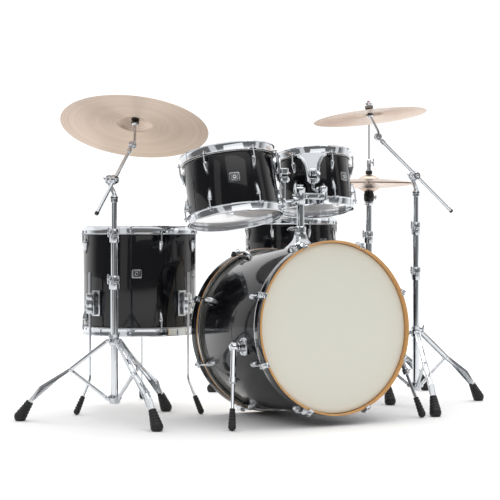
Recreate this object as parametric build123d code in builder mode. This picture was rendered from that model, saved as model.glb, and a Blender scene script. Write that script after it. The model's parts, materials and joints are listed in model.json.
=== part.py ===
from build123d import *
import os
from math import atan2, cos, degrees, hypot, radians, sin

# Acoustic drum kit in millimetres. +Z is up, the kit faces -Y and the drummer
# sits at +Y. Places are measured from the bass drum's axis, and save() moves
# each node so that the origin is on the floor under the middle of the whole kit.

os.makedirs("parts", exist_ok=True)

# ---- driving dimensions: places in the kit --------------------------------
KIT_MIDDLE = (22.55, -4.08, 0.0)
BASS_DEPTH = 490.0  # over both hoops
BASS_TILT = 3.86  # the front hoop is raised
BASS_HOOP_R = 289.0
BASS_FRONT_Y = -570.0
TOM_MOUNT_Y = -337.0
LARGE_TOM_AT = (-246.5, -296.0, 788.0)
LARGE_TOM_UP = (-0.027, 0.227, 0.9735)
SMALL_TOM_AT = (155.0, -176.0, 812.0)
SMALL_TOM_UP = (0.0265, 0.175, 0.984)
FLOOR_TOM_AT = (-350.5, 207.5, 464.0)
SNARE_AT = (370.0, 357.0, 595.0)
HIHAT_AT = (599.0, 150.0)
RIDE_STAND_AT = (-588.0, -99.0)
CRASH_STAND_AT = (552.0, -233.0)

# ---- driving dimensions: drums ---------------------------------------------
SHELL_WALL = 7.0
FILM = 0.8
ROD_OUT = 12.5  # tension rods stand this far off the shell
ROD_R = 2.9
RUN = 0.1  # running clearance on a radius
REST = 0.05  # film above the bearing edge
GAP = 0.3  # gap between faces that only lie near each other

# ---- driving dimensions: tripods -------------------------------------------
STRUT = 158.0  # strut, and the leg above its joint
SPREAD = 52.0  # strut and leg, degrees from the tube when open
FOLDED = 4.0
HUB_Z = 75.0
PIVOT_R = 24.0
LOWER_R, MIDDLE_R, TOP_R = 12.7, 11.1, 9.5
TUBE_WALL = 1.5
COLLAR_Z = HUB_Z + 2 * STRUT * cos(radians(SPREAD))
COLLAR_TRAVEL = 2 * STRUT * (cos(radians(FOLDED)) - cos(radians(SPREAD)))


# ---- helpers ------------------------------------------------------------------
def along(start, end):
    """The plane at start that looks towards end."""
    return Plane(origin=start, z_dir=Vector(end) - Vector(start))


def rod(start, end, radius, inner=0.0, mode=Mode.ADD):
    """A round bar or tube between two points, in the part being built."""
    with BuildSketch(along(start, end)) as ring:
        Circle(radius)
        if inner:
            Circle(inner, mode=Mode.SUBTRACT)
    extrude(ring.sketch, amount=(Vector(end) - Vector(start)).length, mode=mode)


def bar(plane, width, depth, height, mode=Mode.ADD):
    """A block on a plane, centred across it and rising along it."""
    with BuildSketch(plane) as base:
        Rectangle(width, depth)
    extrude(base.sketch, amount=height, mode=mode)


def upright(x, y, low, high, radius, inner=0.0, mode=Mode.ADD):
    """A vertical bar or tube."""
    rod((x, y, low), (x, y, high), radius, inner, mode)


def polar(centre, radius, angle, z):
    """A point at a radius and angle round a vertical axis."""
    x, y = centre[0], centre[1]
    return (x + radius * cos(radians(angle)), y + radius * sin(radians(angle)), z)


def save(node, *pieces):
    """Writes one node: a single piece, or a group of separate solids."""
    moved = [Pos(-Vector(KIT_MIDDLE)) * piece for piece in pieces]
    whole = moved[0] if len(moved) == 1 else Compound(children=moved)
    whole.label = node
    export_step(whole, "parts/" + node + ".step")


def wing_bolt(start, outward, reach=14.0):
    """A clamp bolt with a two-winged head, starting on a face."""
    out = Plane(origin=start, z_dir=outward)
    with BuildPart() as bolt:
        bar_plane = out.offset(reach - 1)
        rod(start, out.offset(reach).origin, 3.0)
        bar(bar_plane, 34, 5, 9)
    return bolt.part


# ---- drum pieces, each on a plane whose Z is the drum's axis -------------
def shell(middle, radius, depth):
    with BuildPart() as wood:
        with BuildSketch(middle.offset(-depth / 2)):
            Circle(radius)
            Circle(radius - SHELL_WALL, mode=Mode.SUBTRACT)
        extrude(amount=depth)
    return wood.part


def ring(plane, outline):
    """A ring turned round a plane's axis from (radius, height) points."""
    side = Plane(origin=plane.origin, x_dir=plane.x_dir, z_dir=-plane.y_dir)
    with BuildPart() as turned:
        with BuildSketch(side):
            with BuildLine():
                Polyline(*outline, close=True)
            make_face()
        revolve(axis=Axis(plane.origin, plane.z_dir))
    return turned.part


def film(edge, radius):
    """A flat film that lies on its collar, just above the bearing edge."""
    return ring(edge, [(0, REST), (0, FILM), (radius, FILM), (radius, REST)])


def head(edge, radius):
    """A drum head: the film, and its collar with the flesh hoop, on the bearing edge."""
    lip = radius + 1.2
    collar = ring(
        edge,
        [
            (radius + 0.4, REST),
            (lip, REST),
            (lip, -8),
            (radius + 3.2, -8),
            (radius + 3.2, -15),
            (radius + 0.4, -15),
        ],
    )
    return [film(edge, lip), collar]


def flanged_hoop(edge, radius, count, turn):
    """A triple-flanged steel hoop with an ear at each tension rod."""
    turned = ring(
        edge,
        [
            (radius + 3.5, -14),
            (radius + 13, -14),
            (radius + 13, -11.5),
            (radius + 6, -11.5),
            (radius + 6, 13.5),
            (radius + 10, 13.5),
            (radius + 10, 16),
            (radius + 3.5, 16),
            (radius + 3.5, -5),
            (radius + 1.6, -5),
            (radius + 1.6, -7.8),
            (radius + 3.5, -7.8),
        ],
    )
    with BuildPart() as hoop:
        add(turned)
        with BuildSketch(edge.offset(-14)) as ears:
            with PolarLocations(radius + 12, count, start_angle=turn):
                Rectangle(12, 18)
        extrude(ears.sketch, amount=2.5)
        with BuildSketch(edge.offset(-14)) as holes:
            with PolarLocations(radius + ROD_OUT, count, start_angle=turn):
                Circle(ROD_R + RUN)
        extrude(holes.sketch, amount=2.5, mode=Mode.SUBTRACT)
    return hoop.part


def lug(radius, tall, stand, rod_out, wide=17.0):
    """A cast lug on a shell, lying along X, with a blind hole for its rod."""
    side = Plane(origin=(0, wide / 2, 0), x_dir=(1, 0, 0), z_dir=(0, -1, 0))
    with BuildPart() as cast:
        with BuildSketch(side):
            with BuildLine():
                Polyline(
                    (radius, 0),
                    (radius + stand, 0),
                    (radius + stand, -tall * 0.45),
                    (radius + stand * 0.45, -tall * 0.9),
                    (radius, -tall),
                    close=True,
                )
            make_face()
        extrude(amount=wide)
        edges_along = cast.edges().filter_by(Axis.Y).sort_by(Axis.X)[-2:]
        fillet(edges_along, radius=3)
        rod((radius + rod_out, 0, -16), (radius + rod_out, 0, 1), ROD_R + RUN, mode=Mode.SUBTRACT)
    return cast.part


def key_rod(radius, high, low, rod_out):
    """A square-headed tension rod with its washer."""
    with BuildPart() as screw:
        rod((radius + rod_out, 0, low), (radius + rod_out, 0, high), ROD_R)
        rod((radius + rod_out, 0, high), (radius + rod_out, 0, high + 1.6), 6.0)
        bar(Plane((radius + rod_out, 0, high + 1.6)), 6.5, 6.5, 8)
    return screw.part


def around(plane, piece, count, turn):
    """Copies of a piece round a plane's axis."""
    return [
        plane.location * Rot(0, 0, turn + 360 * k / count) * piece
        for k in range(count)
    ]


class Drum:
    """A drum's planes and sizes, from its middle, axis and facing direction."""

    def __init__(self, at, up, radius, depth, count, turn):
        level = Vector(cos(radians(turn)), sin(radians(turn)), 0)
        normal = Vector(up).normalized()
        self.middle = Plane(origin=at, x_dir=level - normal * level.dot(normal), z_dir=normal)
        self.radius = radius
        self.depth = depth
        self.count = count
        self.top = self.middle.offset(depth / 2)
        low = self.middle.offset(-depth / 2)
        self.bottom = Plane(origin=low.origin, x_dir=low.x_dir, z_dir=-low.z_dir)

    def point(self, out, angle, high):
        """A point off the axis, at an angle from the first lug."""
        turned = (out * cos(radians(angle)), out * sin(radians(angle)), high)
        return self.middle.from_local_coords(turned)

    def save_core(self, name, wood=None):
        """Writes the shell and both hoops, and gives the solids of both heads."""
        save(name + "_shell", wood or shell(self.middle, self.radius, self.depth))
        save(
            name + "_hoops",
            flanged_hoop(self.top, self.radius, self.count, 0),
            flanged_hoop(self.bottom, self.radius, self.count, 0),
        )
        return head(self.top, self.radius) + head(self.bottom, self.radius)

    def lugs_and_rods(self, lug_from_edge=34.0, tall=42.0):
        """Every lug and tension rod, both ends."""
        body = Pos(0, 0, -lug_from_edge) * lug(self.radius, tall, 17, ROD_OUT)
        screw = key_rod(self.radius, -11.3, -lug_from_edge - 14, ROD_OUT)
        pieces = []
        for plane in (self.top, self.bottom):
            pieces += around(plane, body, self.count, 0)
            pieces += around(plane, screw, self.count, 0)
        return pieces


# ---- bass drum ---------------------------------------------------------------
BASS_R = 279.4
tilt = radians(BASS_TILT)
bass_front_z = BASS_HOOP_R * cos(tilt) + BASS_DEPTH * sin(tilt)
bass_nose = Vector(0, -cos(tilt), sin(tilt))
bass_front = Plane(origin=(0, BASS_FRONT_Y, bass_front_z), x_dir=(1, 0, 0), z_dir=bass_nose)
bass_rear = Plane(
    origin=bass_front.origin - bass_nose * BASS_DEPTH, x_dir=(1, 0, 0), z_dir=-bass_nose
)
BEARING_EDGE = 16.4  # behind each hoop's outer edge
MOUNT_HOLE_R = 14.0
bass_shell_depth = BASS_DEPTH - 2 * BEARING_EDGE
bass_middle = bass_front.offset(-BASS_DEPTH / 2)
bass_top_z = bass_middle.origin.Z + BASS_R

with BuildPart() as bass_drum_shell:
    add(shell(bass_middle, BASS_R, bass_shell_depth))
    upright(0, TOM_MOUNT_Y, bass_top_z - 60, bass_top_z + 60, MOUNT_HOLE_R, mode=Mode.SUBTRACT)
save("bass_drum_shell", bass_drum_shell.part)


def wood_hoop(plane):
    return ring(plane, [(282, -40), (BASS_HOOP_R, -40), (BASS_HOOP_R, 0), (282, 0)])


def bass_head(plane):
    edge = plane.offset(-BEARING_EDGE)
    lip = BASS_R + 1.8
    collar = ring(
        edge,
        [
            (BASS_R + 0.4, REST),
            (lip, REST),
            (lip, -24),
            (BASS_R + 7.1, -24),
            (BASS_R + 7.1, -31),
            (BASS_R + 0.4, -31),
        ],
    )
    return [film(edge, lip), collar]


save("bass_drum_hoops", wood_hoop(bass_front), wood_hoop(bass_rear))
save("bass_drum_heads", *bass_head(bass_front), *bass_head(bass_rear))

BASS_ROD_OUT = 17.5
CLAW_WIDE = 20.0
with BuildPart() as claw:
    with BuildSketch(Plane(origin=(0, CLAW_WIDE / 2, 0), x_dir=(1, 0, 0), z_dir=(0, -1, 0))):
        with BuildLine():
            Polyline(
                (283.5, GAP),
                (BASS_HOOP_R + GAP, GAP),
                (BASS_HOOP_R + GAP, -34),
                (303, -34),
                (303, -12),
                (293, -4),
                (293, 3.5),
                (283.5, 3.5),
                close=True,
            )
        make_face()
    extrude(amount=CLAW_WIDE)
    rod((BASS_R + BASS_ROD_OUT, 0, -40), (BASS_R + BASS_ROD_OUT, 0, 10), ROD_R + RUN, mode=Mode.SUBTRACT)
bass_lug = Pos(0, 0, -76) * lug(BASS_R, 40, 23, BASS_ROD_OUT, 20)
bass_screw = key_rod(BASS_R, -3.5, -90, BASS_ROD_OUT)
bass_metal = []
for end in (bass_front, bass_rear):
    bass_metal += around(end, claw.part, 8, 22.5)
    bass_metal += around(end, bass_lug, 8, 22.5)
    bass_metal += around(end, bass_screw, 8, 22.5)
save("bass_drum_lugs", *bass_metal)

# ---- bass drum spurs ---------------------------------------------------------
SPUR_PIVOT = (315.0, -440.0, 262.0)
SPUR_FOOT = (370.0, -530.0)
SPUR_FOOT_R = 13.0


def spur_bracket(side):
    x, y, z = SPUR_PIVOT
    with BuildPart() as cast:
        plate = Plane(origin=(side * 262, y, z), x_dir=(0, 1, 0), z_dir=(side, 0, 0))
        bar(plate, 46, 62, 26)
        rod((side * 262, y, z), (side * (x - 12), y, z), 17)
        with BuildSketch(bass_middle.offset(-bass_shell_depth / 2)) as core:
            Circle(BASS_R + 0.05)
        extrude(core.sketch, amount=bass_shell_depth, mode=Mode.SUBTRACT)
    return cast.part.solids().sort_by(SortBy.VOLUME)[-1]


def spur(side):
    """Pivot boss, upper tube, lower rod and rubber foot."""
    x, y, z = SPUR_PIVOT
    pivot = Vector(side * x, y, z)
    foot = Vector(side * SPUR_FOOT[0], SPUR_FOOT[1], SPUR_FOOT_R)
    joint = pivot + (foot - pivot) * 0.45
    ankle = pivot + (foot - pivot) * 0.82
    with BuildPart() as metal:
        rod((side * (x - 11.7), y, z), (side * (x + 14), y, z), 16)
        rod(pivot, joint, 9.5)
        rod(joint, ankle, 6)
        rod(joint - (joint - pivot).normalized() * 12, joint, 12.5)
    with BuildPart() as rubber:
        rod(ankle, foot, 10.5)
        with Locations(foot):
            Sphere(SPUR_FOOT_R)
    return [metal.part, rubber.part]


save("spur_right", *spur(1))
save("spur_left", *spur(-1))

# ---- tom holder on the bass drum ------------------------------------------
POST_R = 12.7
HOLDER_TOP = 641.0
with BuildPart() as tom_holder_base:
    with BuildSketch(Plane.XY.offset(575)) as foot_print:
        with Locations((0, TOM_MOUNT_Y)):
            RectangleRounded(96, 78, 14)
    with BuildSketch(Plane.XY.offset(624)) as neck:
        with Locations((0, TOM_MOUNT_Y)):
            RectangleRounded(38, 36, 12)
    loft([foot_print.sketch.face(), neck.sketch.face()])
    upright(0, TOM_MOUNT_Y, 624, HOLDER_TOP + 14, 19)
    upright(0, TOM_MOUNT_Y, 560, HOLDER_TOP + 20, POST_R + RUN, mode=Mode.SUBTRACT)
    with BuildSketch(bass_middle.offset(-bass_shell_depth / 2)) as drum_core:
        Circle(BASS_R + 0.05)
    extrude(drum_core.sketch, amount=bass_shell_depth, mode=Mode.SUBTRACT)
holder_bolt = wing_bolt((-19, TOM_MOUNT_Y, HOLDER_TOP + 5), (-1, 0, 0))
save(
    "bass_drum_brackets",
    tom_holder_base.part.solids().sort_by(SortBy.VOLUME)[-1],
    holder_bolt,
    spur_bracket(1),
    spur_bracket(-1),
)

# ---- tom post with its platform ---------------------------------------------
PLATFORM_Z = 757.0
LARGE_CLAMP = (-24.0, -341.0, 742.0)
SMALL_CLAMP = (92.0, -337.0, 781.0)
with BuildPart() as tom_post:
    upright(0, TOM_MOUNT_Y, 480, 735, POST_R, POST_R - 2)
    upright(0, TOM_MOUNT_Y, 735, 788, 17)
    bar(Plane((50, TOM_MOUNT_Y, PLATFORM_Z - 10)), 92, 28, 21)
    upright(*SMALL_CLAMP[:2], PLATFORM_Z - 10, SMALL_CLAMP[2] + 15, 14)
    rod((0, TOM_MOUNT_Y, 742), LARGE_CLAMP, 15)
platform_bolt = wing_bolt((0, TOM_MOUNT_Y, 788), (0, 0, 1), 12)
stub_bolt = wing_bolt((*SMALL_CLAMP[:2], SMALL_CLAMP[2] + 15), (0, 0, 1), 6)
save("tom_post", tom_post.part, platform_bolt, stub_bolt)

# ---- rack toms -----------------------------------------------------------------
LROD_R = 5.25
LARGE_ROD = (-103.0, -401.0)
SMALL_ROD = (66.0, -312.0)


def l_rod(clamp, corner, top, gap):
    """An L-shaped rod: level out of its clamp, then upright into the tom's bracket."""
    start = Vector(clamp)
    bend = Vector(corner[0], corner[1], clamp[2])
    outward = (bend - start).normalized()
    with BuildPart() as steel:
        rod(start + outward * gap, start + outward * (gap + 9), 12)
        rod(start + outward * (gap + 8), bend, LROD_R)
        rod(bend, (corner[0], corner[1], top), LROD_R)
        with Locations(bend):
            Sphere(LROD_R + RUN)
    return steel.part


def tom_bracket(drum, at, low, high):
    """The cast plate hung at the top hoop, with the block that grips the L-rod."""
    post = Vector(at[0], at[1], 0)
    local = drum.middle.to_local_coords(Vector(at[0], at[1], (low + high) / 2))
    angle = degrees(atan2(local.Y, local.X))
    radial_out = drum.point(1, angle, 0) - drum.point(0, 0, 0)
    tangent = drum.point(1, angle + 90, 0) - drum.point(0, 0, 0)
    plate_r = drum.radius + 18
    reach = hypot(local.X, local.Y) - plate_r
    top = drum.depth / 2 - 24
    with BuildPart() as cast:
        with BuildSketch(Plane(origin=drum.point(plate_r, angle, 0), x_dir=tangent, z_dir=radial_out)):
            with BuildLine():
                Polyline((-19, -22), (19, -22), (38, top), (-38, top), close=True)
            make_face()
        extrude(amount=4)
        upright(at[0], at[1], low, high, 15)
        bar(Plane(origin=post + Vector(0, 0, low), x_dir=radial_out), 2 * reach, 26, high - low)
        with BuildSketch(drum.middle.offset(-drum.depth / 2 - 30)) as inside:
            Circle(drum.radius + 16)
        extrude(inside.sketch, amount=drum.depth + 60, mode=Mode.SUBTRACT)
        upright(at[0], at[1], low - 60, high + 80, LROD_R + RUN, mode=Mode.SUBTRACT)
    return cast.part.solids().sort_by(SortBy.VOLUME)[-1]


TOM_GRIP_LOW, TOM_GRIP_HIGH = 800.0, 852.0
large_tom = Drum(LARGE_TOM_AT, LARGE_TOM_UP, 152.4, 203.2, 6, -118.3 - 28)
save("large_tom_arm", l_rod(LARGE_CLAMP, LARGE_ROD, 846, 15.3))
save("large_tom_heads", *large_tom.save_core("large_tom"))
large_bracket = tom_bracket(large_tom, LARGE_ROD, TOM_GRIP_LOW, TOM_GRIP_HIGH)
save("large_tom_lugs", *large_tom.lugs_and_rods(), large_bracket)

small_tom = Drum(SMALL_TOM_AT, SMALL_TOM_UP, 127.0, 177.8, 6, -121.35 - 31)
save("small_tom_arm", l_rod(SMALL_CLAMP, SMALL_ROD, 848, 15.3))
save("small_tom_heads", *small_tom.save_core("small_tom"))
small_bracket = tom_bracket(small_tom, SMALL_ROD, TOM_GRIP_LOW + 4, TOM_GRIP_HIGH + 4)
save("small_tom_lugs", *small_tom.lugs_and_rods(), small_bracket)

# ---- floor tom with its three legs -----------------------------------------
FLOOR_TOM_TURN = -115.0
FLOOR_TOM_R = 203.2
LEG_ANGLES = (-162.0, -70.0, 63.5)
LEG_OUT = 238.0
LEG_R = 4.75
FOOT_OUT = 300.0
floor_tom = Drum(FLOOR_TOM_AT, (0, 0, 1), FLOOR_TOM_R, 355.6, 8, FLOOR_TOM_TURN + 20.5)
save("floor_tom_heads", *floor_tom.save_core("floor_tom"))


def leg_bracket(angle):
    """The cast block on the shell that a floor tom leg slides in, with its bolt."""
    with BuildPart() as cast:
        side = Plane(origin=(*FLOOR_TOM_AT[:2], 350), x_dir=polar((0, 0), 1, angle, 0))
        with BuildSketch(side) as base:
            with Locations(((FLOOR_TOM_R + LEG_OUT) / 2 + 3, 0)):
                Rectangle(LEG_OUT - FLOOR_TOM_R + 14, 30)
        extrude(base.sketch, amount=70)
        post = polar(FLOOR_TOM_AT, LEG_OUT, angle, 0)
        upright(post[0], post[1], 340, 430, LEG_R + RUN, mode=Mode.SUBTRACT)
        upright(*FLOOR_TOM_AT[:2], 340, 430, FLOOR_TOM_R + 0.05, mode=Mode.SUBTRACT)
    start = polar(FLOOR_TOM_AT, LEG_OUT + 10, angle, 372)
    return [cast.part, wing_bolt(start, polar((0, 0), 1, angle, 0), 10)]


def floor_tom_leg(angle):
    """A rod, upright in its bracket, kneed outwards to a rubber foot."""
    knee = Vector(polar(FLOOR_TOM_AT, LEG_OUT, angle, 120))
    foot = Vector(polar(FLOOR_TOM_AT, FOOT_OUT, angle, 11))
    ankle = knee + (foot - knee) * 0.6
    post = polar(FLOOR_TOM_AT, LEG_OUT, angle, 0)
    with BuildPart() as steel:
        upright(post[0], post[1], 120, 495, LEG_R)
        with Locations(knee):
            Sphere(LEG_R)
        rod(knee, ankle, LEG_R)
    with BuildPart() as rubber:
        rod(ankle, foot, 10)
        with Locations(foot):
            Sphere(11)
    return [steel.part, rubber.part]


floor_tom_metal = floor_tom.lugs_and_rods()
for index, angle in enumerate(LEG_ANGLES, 1):
    floor_tom_metal += leg_bracket(angle)
    save("floor_tom_leg_" + str(index), *floor_tom_leg(angle))
save("floor_tom_lugs", *floor_tom_metal)

# ---- snare drum, its basket and its lever -----------------------------------
snare = Drum(SNARE_AT, (0, 0, 1), 177.8, 165.1, 8, -120.5 + 22.5)
snare_heads = snare.save_core("snare_drum")
with BuildPart() as snare_wires:
    with BuildSketch(Plane.XY.offset(SNARE_AT[2] - 165.1 / 2 - 3.6)):
        with Locations((SNARE_AT[0], SNARE_AT[1])):
            Rectangle(40, 300)
    extrude(amount=2.5)
save("snare_drum_heads", *snare_heads, snare_wires.part)
STRAINER_ANGLE = 40.0
STRAINER_OUT = 177.8
strainer = Plane(
    origin=polar(SNARE_AT, STRAINER_OUT, STRAINER_ANGLE, 560),
    x_dir=polar((0, 0), 1, STRAINER_ANGLE, 0),
)
with BuildPart() as strainer_body:
    with BuildSketch(strainer) as body:
        with Locations((11, 0)):
            Rectangle(22, 26)
    extrude(body.sketch, amount=60)
save("snare_drum_lugs", *snare.lugs_and_rods(30, 40), strainer_body.part)
LEVER_OUT = 29.0
LEVER_R = 5.5
LEVER_WIDE = 18.0
lever_foot = strainer.offset(8)
pivot = Plane(
    origin=lever_foot.from_local_coords((LEVER_OUT, 0, 0)), x_dir=strainer.x_dir, z_dir=(0, 0, 1)
)
with BuildPart() as lever:
    bar(pivot, 2 * LEVER_R, LEVER_WIDE, 58)
    along_pin = Plane(origin=pivot.origin, z_dir=pivot.y_dir).offset(-LEVER_WIDE / 2)
    with BuildSketch(along_pin) as boss:
        Circle(LEVER_R)
    extrude(boss.sketch, amount=LEVER_WIDE)
save("snare_strainer_lever", lever.part)

BASKET_Z = 468.0
SNARE_BOTTOM = SNARE_AT[2] - 165.1 / 2 - 16
with BuildPart() as snare_basket:
    upright(*SNARE_AT[:2], 300, BASKET_Z, 9.5)
    upright(*SNARE_AT[:2], BASKET_Z - 26, BASKET_Z, 20)
    for angle in (-30, 90, 210):
        elbow = polar(SNARE_AT, 198, angle, BASKET_Z - 6)
        rod((*SNARE_AT[:2], BASKET_Z - 12), elbow, 6)
        rod(elbow, polar(SNARE_AT, 201, angle, SNARE_BOTTOM + 24), 6)
        rod(polar(SNARE_AT, 199, angle, SNARE_BOTTOM - 7), polar(SNARE_AT, 170, angle, SNARE_BOTTOM - 7), 6.6)
save("snare_basket", snare_basket.part)


# ---- tripods ----------------------------------------------------------------
def radial(centre, angle):
    """The upright plane through an axis, with X outwards and Y upwards."""
    out = polar((0, 0), 1, angle, 0)
    return Plane(origin=(*centre, 0), x_dir=out, z_dir=Vector(out).cross(Vector(0, 0, 1)))


JOINT_R = PIVOT_R + STRUT * sin(radians(SPREAD))
JOINT_Z = HUB_Z + STRUT * cos(radians(SPREAD))
SHIN = ((PIVOT_R, COLLAR_Z), (JOINT_R, JOINT_Z), (248.0, 111.0), (285.0, 64.0))
TRIPOD_FOOT = (318.0, 14.0)
FOOT_R = 17.0
PIN_R = 3.0


def flat_bar(plane, points, width, thick, shift=0.0):
    """A flat bar through (out, up) points of a radial plane."""
    with BuildSketch(plane.offset(shift - thick / 2)) as outline:
        with BuildLine() as spine:
            Polyline(*points)
        trace(spine.line, line_width=width)
        with Locations(*points):
            Circle(width / 2)
    extrude(outline.sketch, amount=thick)


def cross_pin(plane, point, radius, reach, mode=Mode.ADD):
    """A pin or hole square to a radial plane."""
    with BuildSketch(plane.offset(-reach)) as end:
        with Locations(point):
            Circle(radius)
    extrude(end.sketch, amount=2 * reach, mode=mode)


def tripod_strut(centre, angle):
    plane = radial(centre, angle)
    ends = ((PIVOT_R, HUB_Z), (JOINT_R, JOINT_Z))
    with BuildPart() as steel:
        flat_bar(plane, ends, 12, 8)
        for end in ends:
            cross_pin(plane, end, PIN_R + RUN, 10, Mode.SUBTRACT)
    return steel.part


def tripod_leg(centre, angle):
    """Two bent side plates, the strut's pin, and the rubber foot."""
    plane = radial(centre, angle)
    with BuildPart() as steel:
        flat_bar(plane, SHIN, 14, 3, 8)
        flat_bar(plane, SHIN, 14, 3, -8)
        cross_pin(plane, SHIN[1], PIN_R, 9.5)
        flat_bar(plane, (SHIN[2], SHIN[3]), 12, 14)
    ankle = plane.from_local_coords((*SHIN[3], 0))
    sole = plane.from_local_coords((*TRIPOD_FOOT, 0))
    with BuildPart() as rubber:
        with BuildSketch(along(ankle, sole)) as narrow:
            Circle(13)
        with BuildSketch(along(ankle, sole).offset((sole - ankle).length)) as wide:
            Circle(FOOT_R)
        loft([narrow.sketch.face(), wide.sketch.face()])
        with Locations(sole):
            Sphere(FOOT_R)
        with Locations((sole.X, sole.Y, -FOOT_R)):
            Box(3 * FOOT_R, 3 * FOOT_R, 2 * FOOT_R, mode=Mode.SUBTRACT)
    with BuildPart() as steel_cut:
        add(steel.part)
        add(rubber.part, mode=Mode.SUBTRACT)
    return [steel_cut.part.solids().sort_by(SortBy.VOLUME)[-1], rubber.part]


def tripod_hub(centre, angles):
    """The bottom bracket: a sleeve with a clevis and pin for each strut."""
    with BuildPart() as cast:
        upright(*centre, HUB_Z - 13, HUB_Z + 13, 19)
        for angle in angles:
            plane = radial(centre, angle)
            flat_bar(plane, ((12, HUB_Z), (PIVOT_R, HUB_Z)), 16, 15)
            cross_slot(plane, HUB_Z)
            cross_pin(plane, (PIVOT_R, HUB_Z), PIN_R, 7.4)
        upright(*centre, HUB_Z - 20, HUB_Z + 20, LOWER_R + 0.05, mode=Mode.SUBTRACT)
    return cast.part


def cross_slot(plane, height):
    """The slot that a strut turns in."""
    with BuildSketch(plane.offset(-4 - GAP)) as slot:
        with Locations((PIVOT_R + 6, height)):
            Rectangle(27, 40)
    extrude(slot.sketch, amount=8 + 2 * GAP, mode=Mode.SUBTRACT)


def tripod_collar(centre, angles):
    """The sliding collar, with a tongue for each leg and a clamp bolt."""
    with BuildPart() as cast:
        upright(*centre, COLLAR_Z - 16, COLLAR_Z + 22, 18)
        for angle in angles:
            flat_bar(radial(centre, angle), ((10, COLLAR_Z), (PIVOT_R, COLLAR_Z)), 14, 12)
        upright(*centre, COLLAR_Z - 30, COLLAR_Z + 30, LOWER_R + RUN, mode=Mode.SUBTRACT)
    side = polar((0, 0), 1, angles[0] + 60, 0)
    start = polar(centre, 18, angles[0] + 60, COLLAR_Z + 14)
    return [cast.part, wing_bolt(start, side, 8)]


def height_clamp(centre, high, big, small, angle, tall=48.0):
    """The clamp on a tube's end that grips the thinner tube above it."""
    with BuildPart() as cast:
        upright(*centre, high - tall, high, big + 5)
        upright(*centre, high - tall - 1, high - tall / 2, big + 0.05, mode=Mode.SUBTRACT)
        upright(*centre, high - tall - 1, high + 1, small + RUN, mode=Mode.SUBTRACT)
    start = polar(centre, big + 5, angle, high - tall / 4)
    return [cast.part, wing_bolt(start, polar((0, 0), 1, angle, 0), 10)]


# ---- boom stands -------------------------------------------------------------
STUD_R = 4.0


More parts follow.
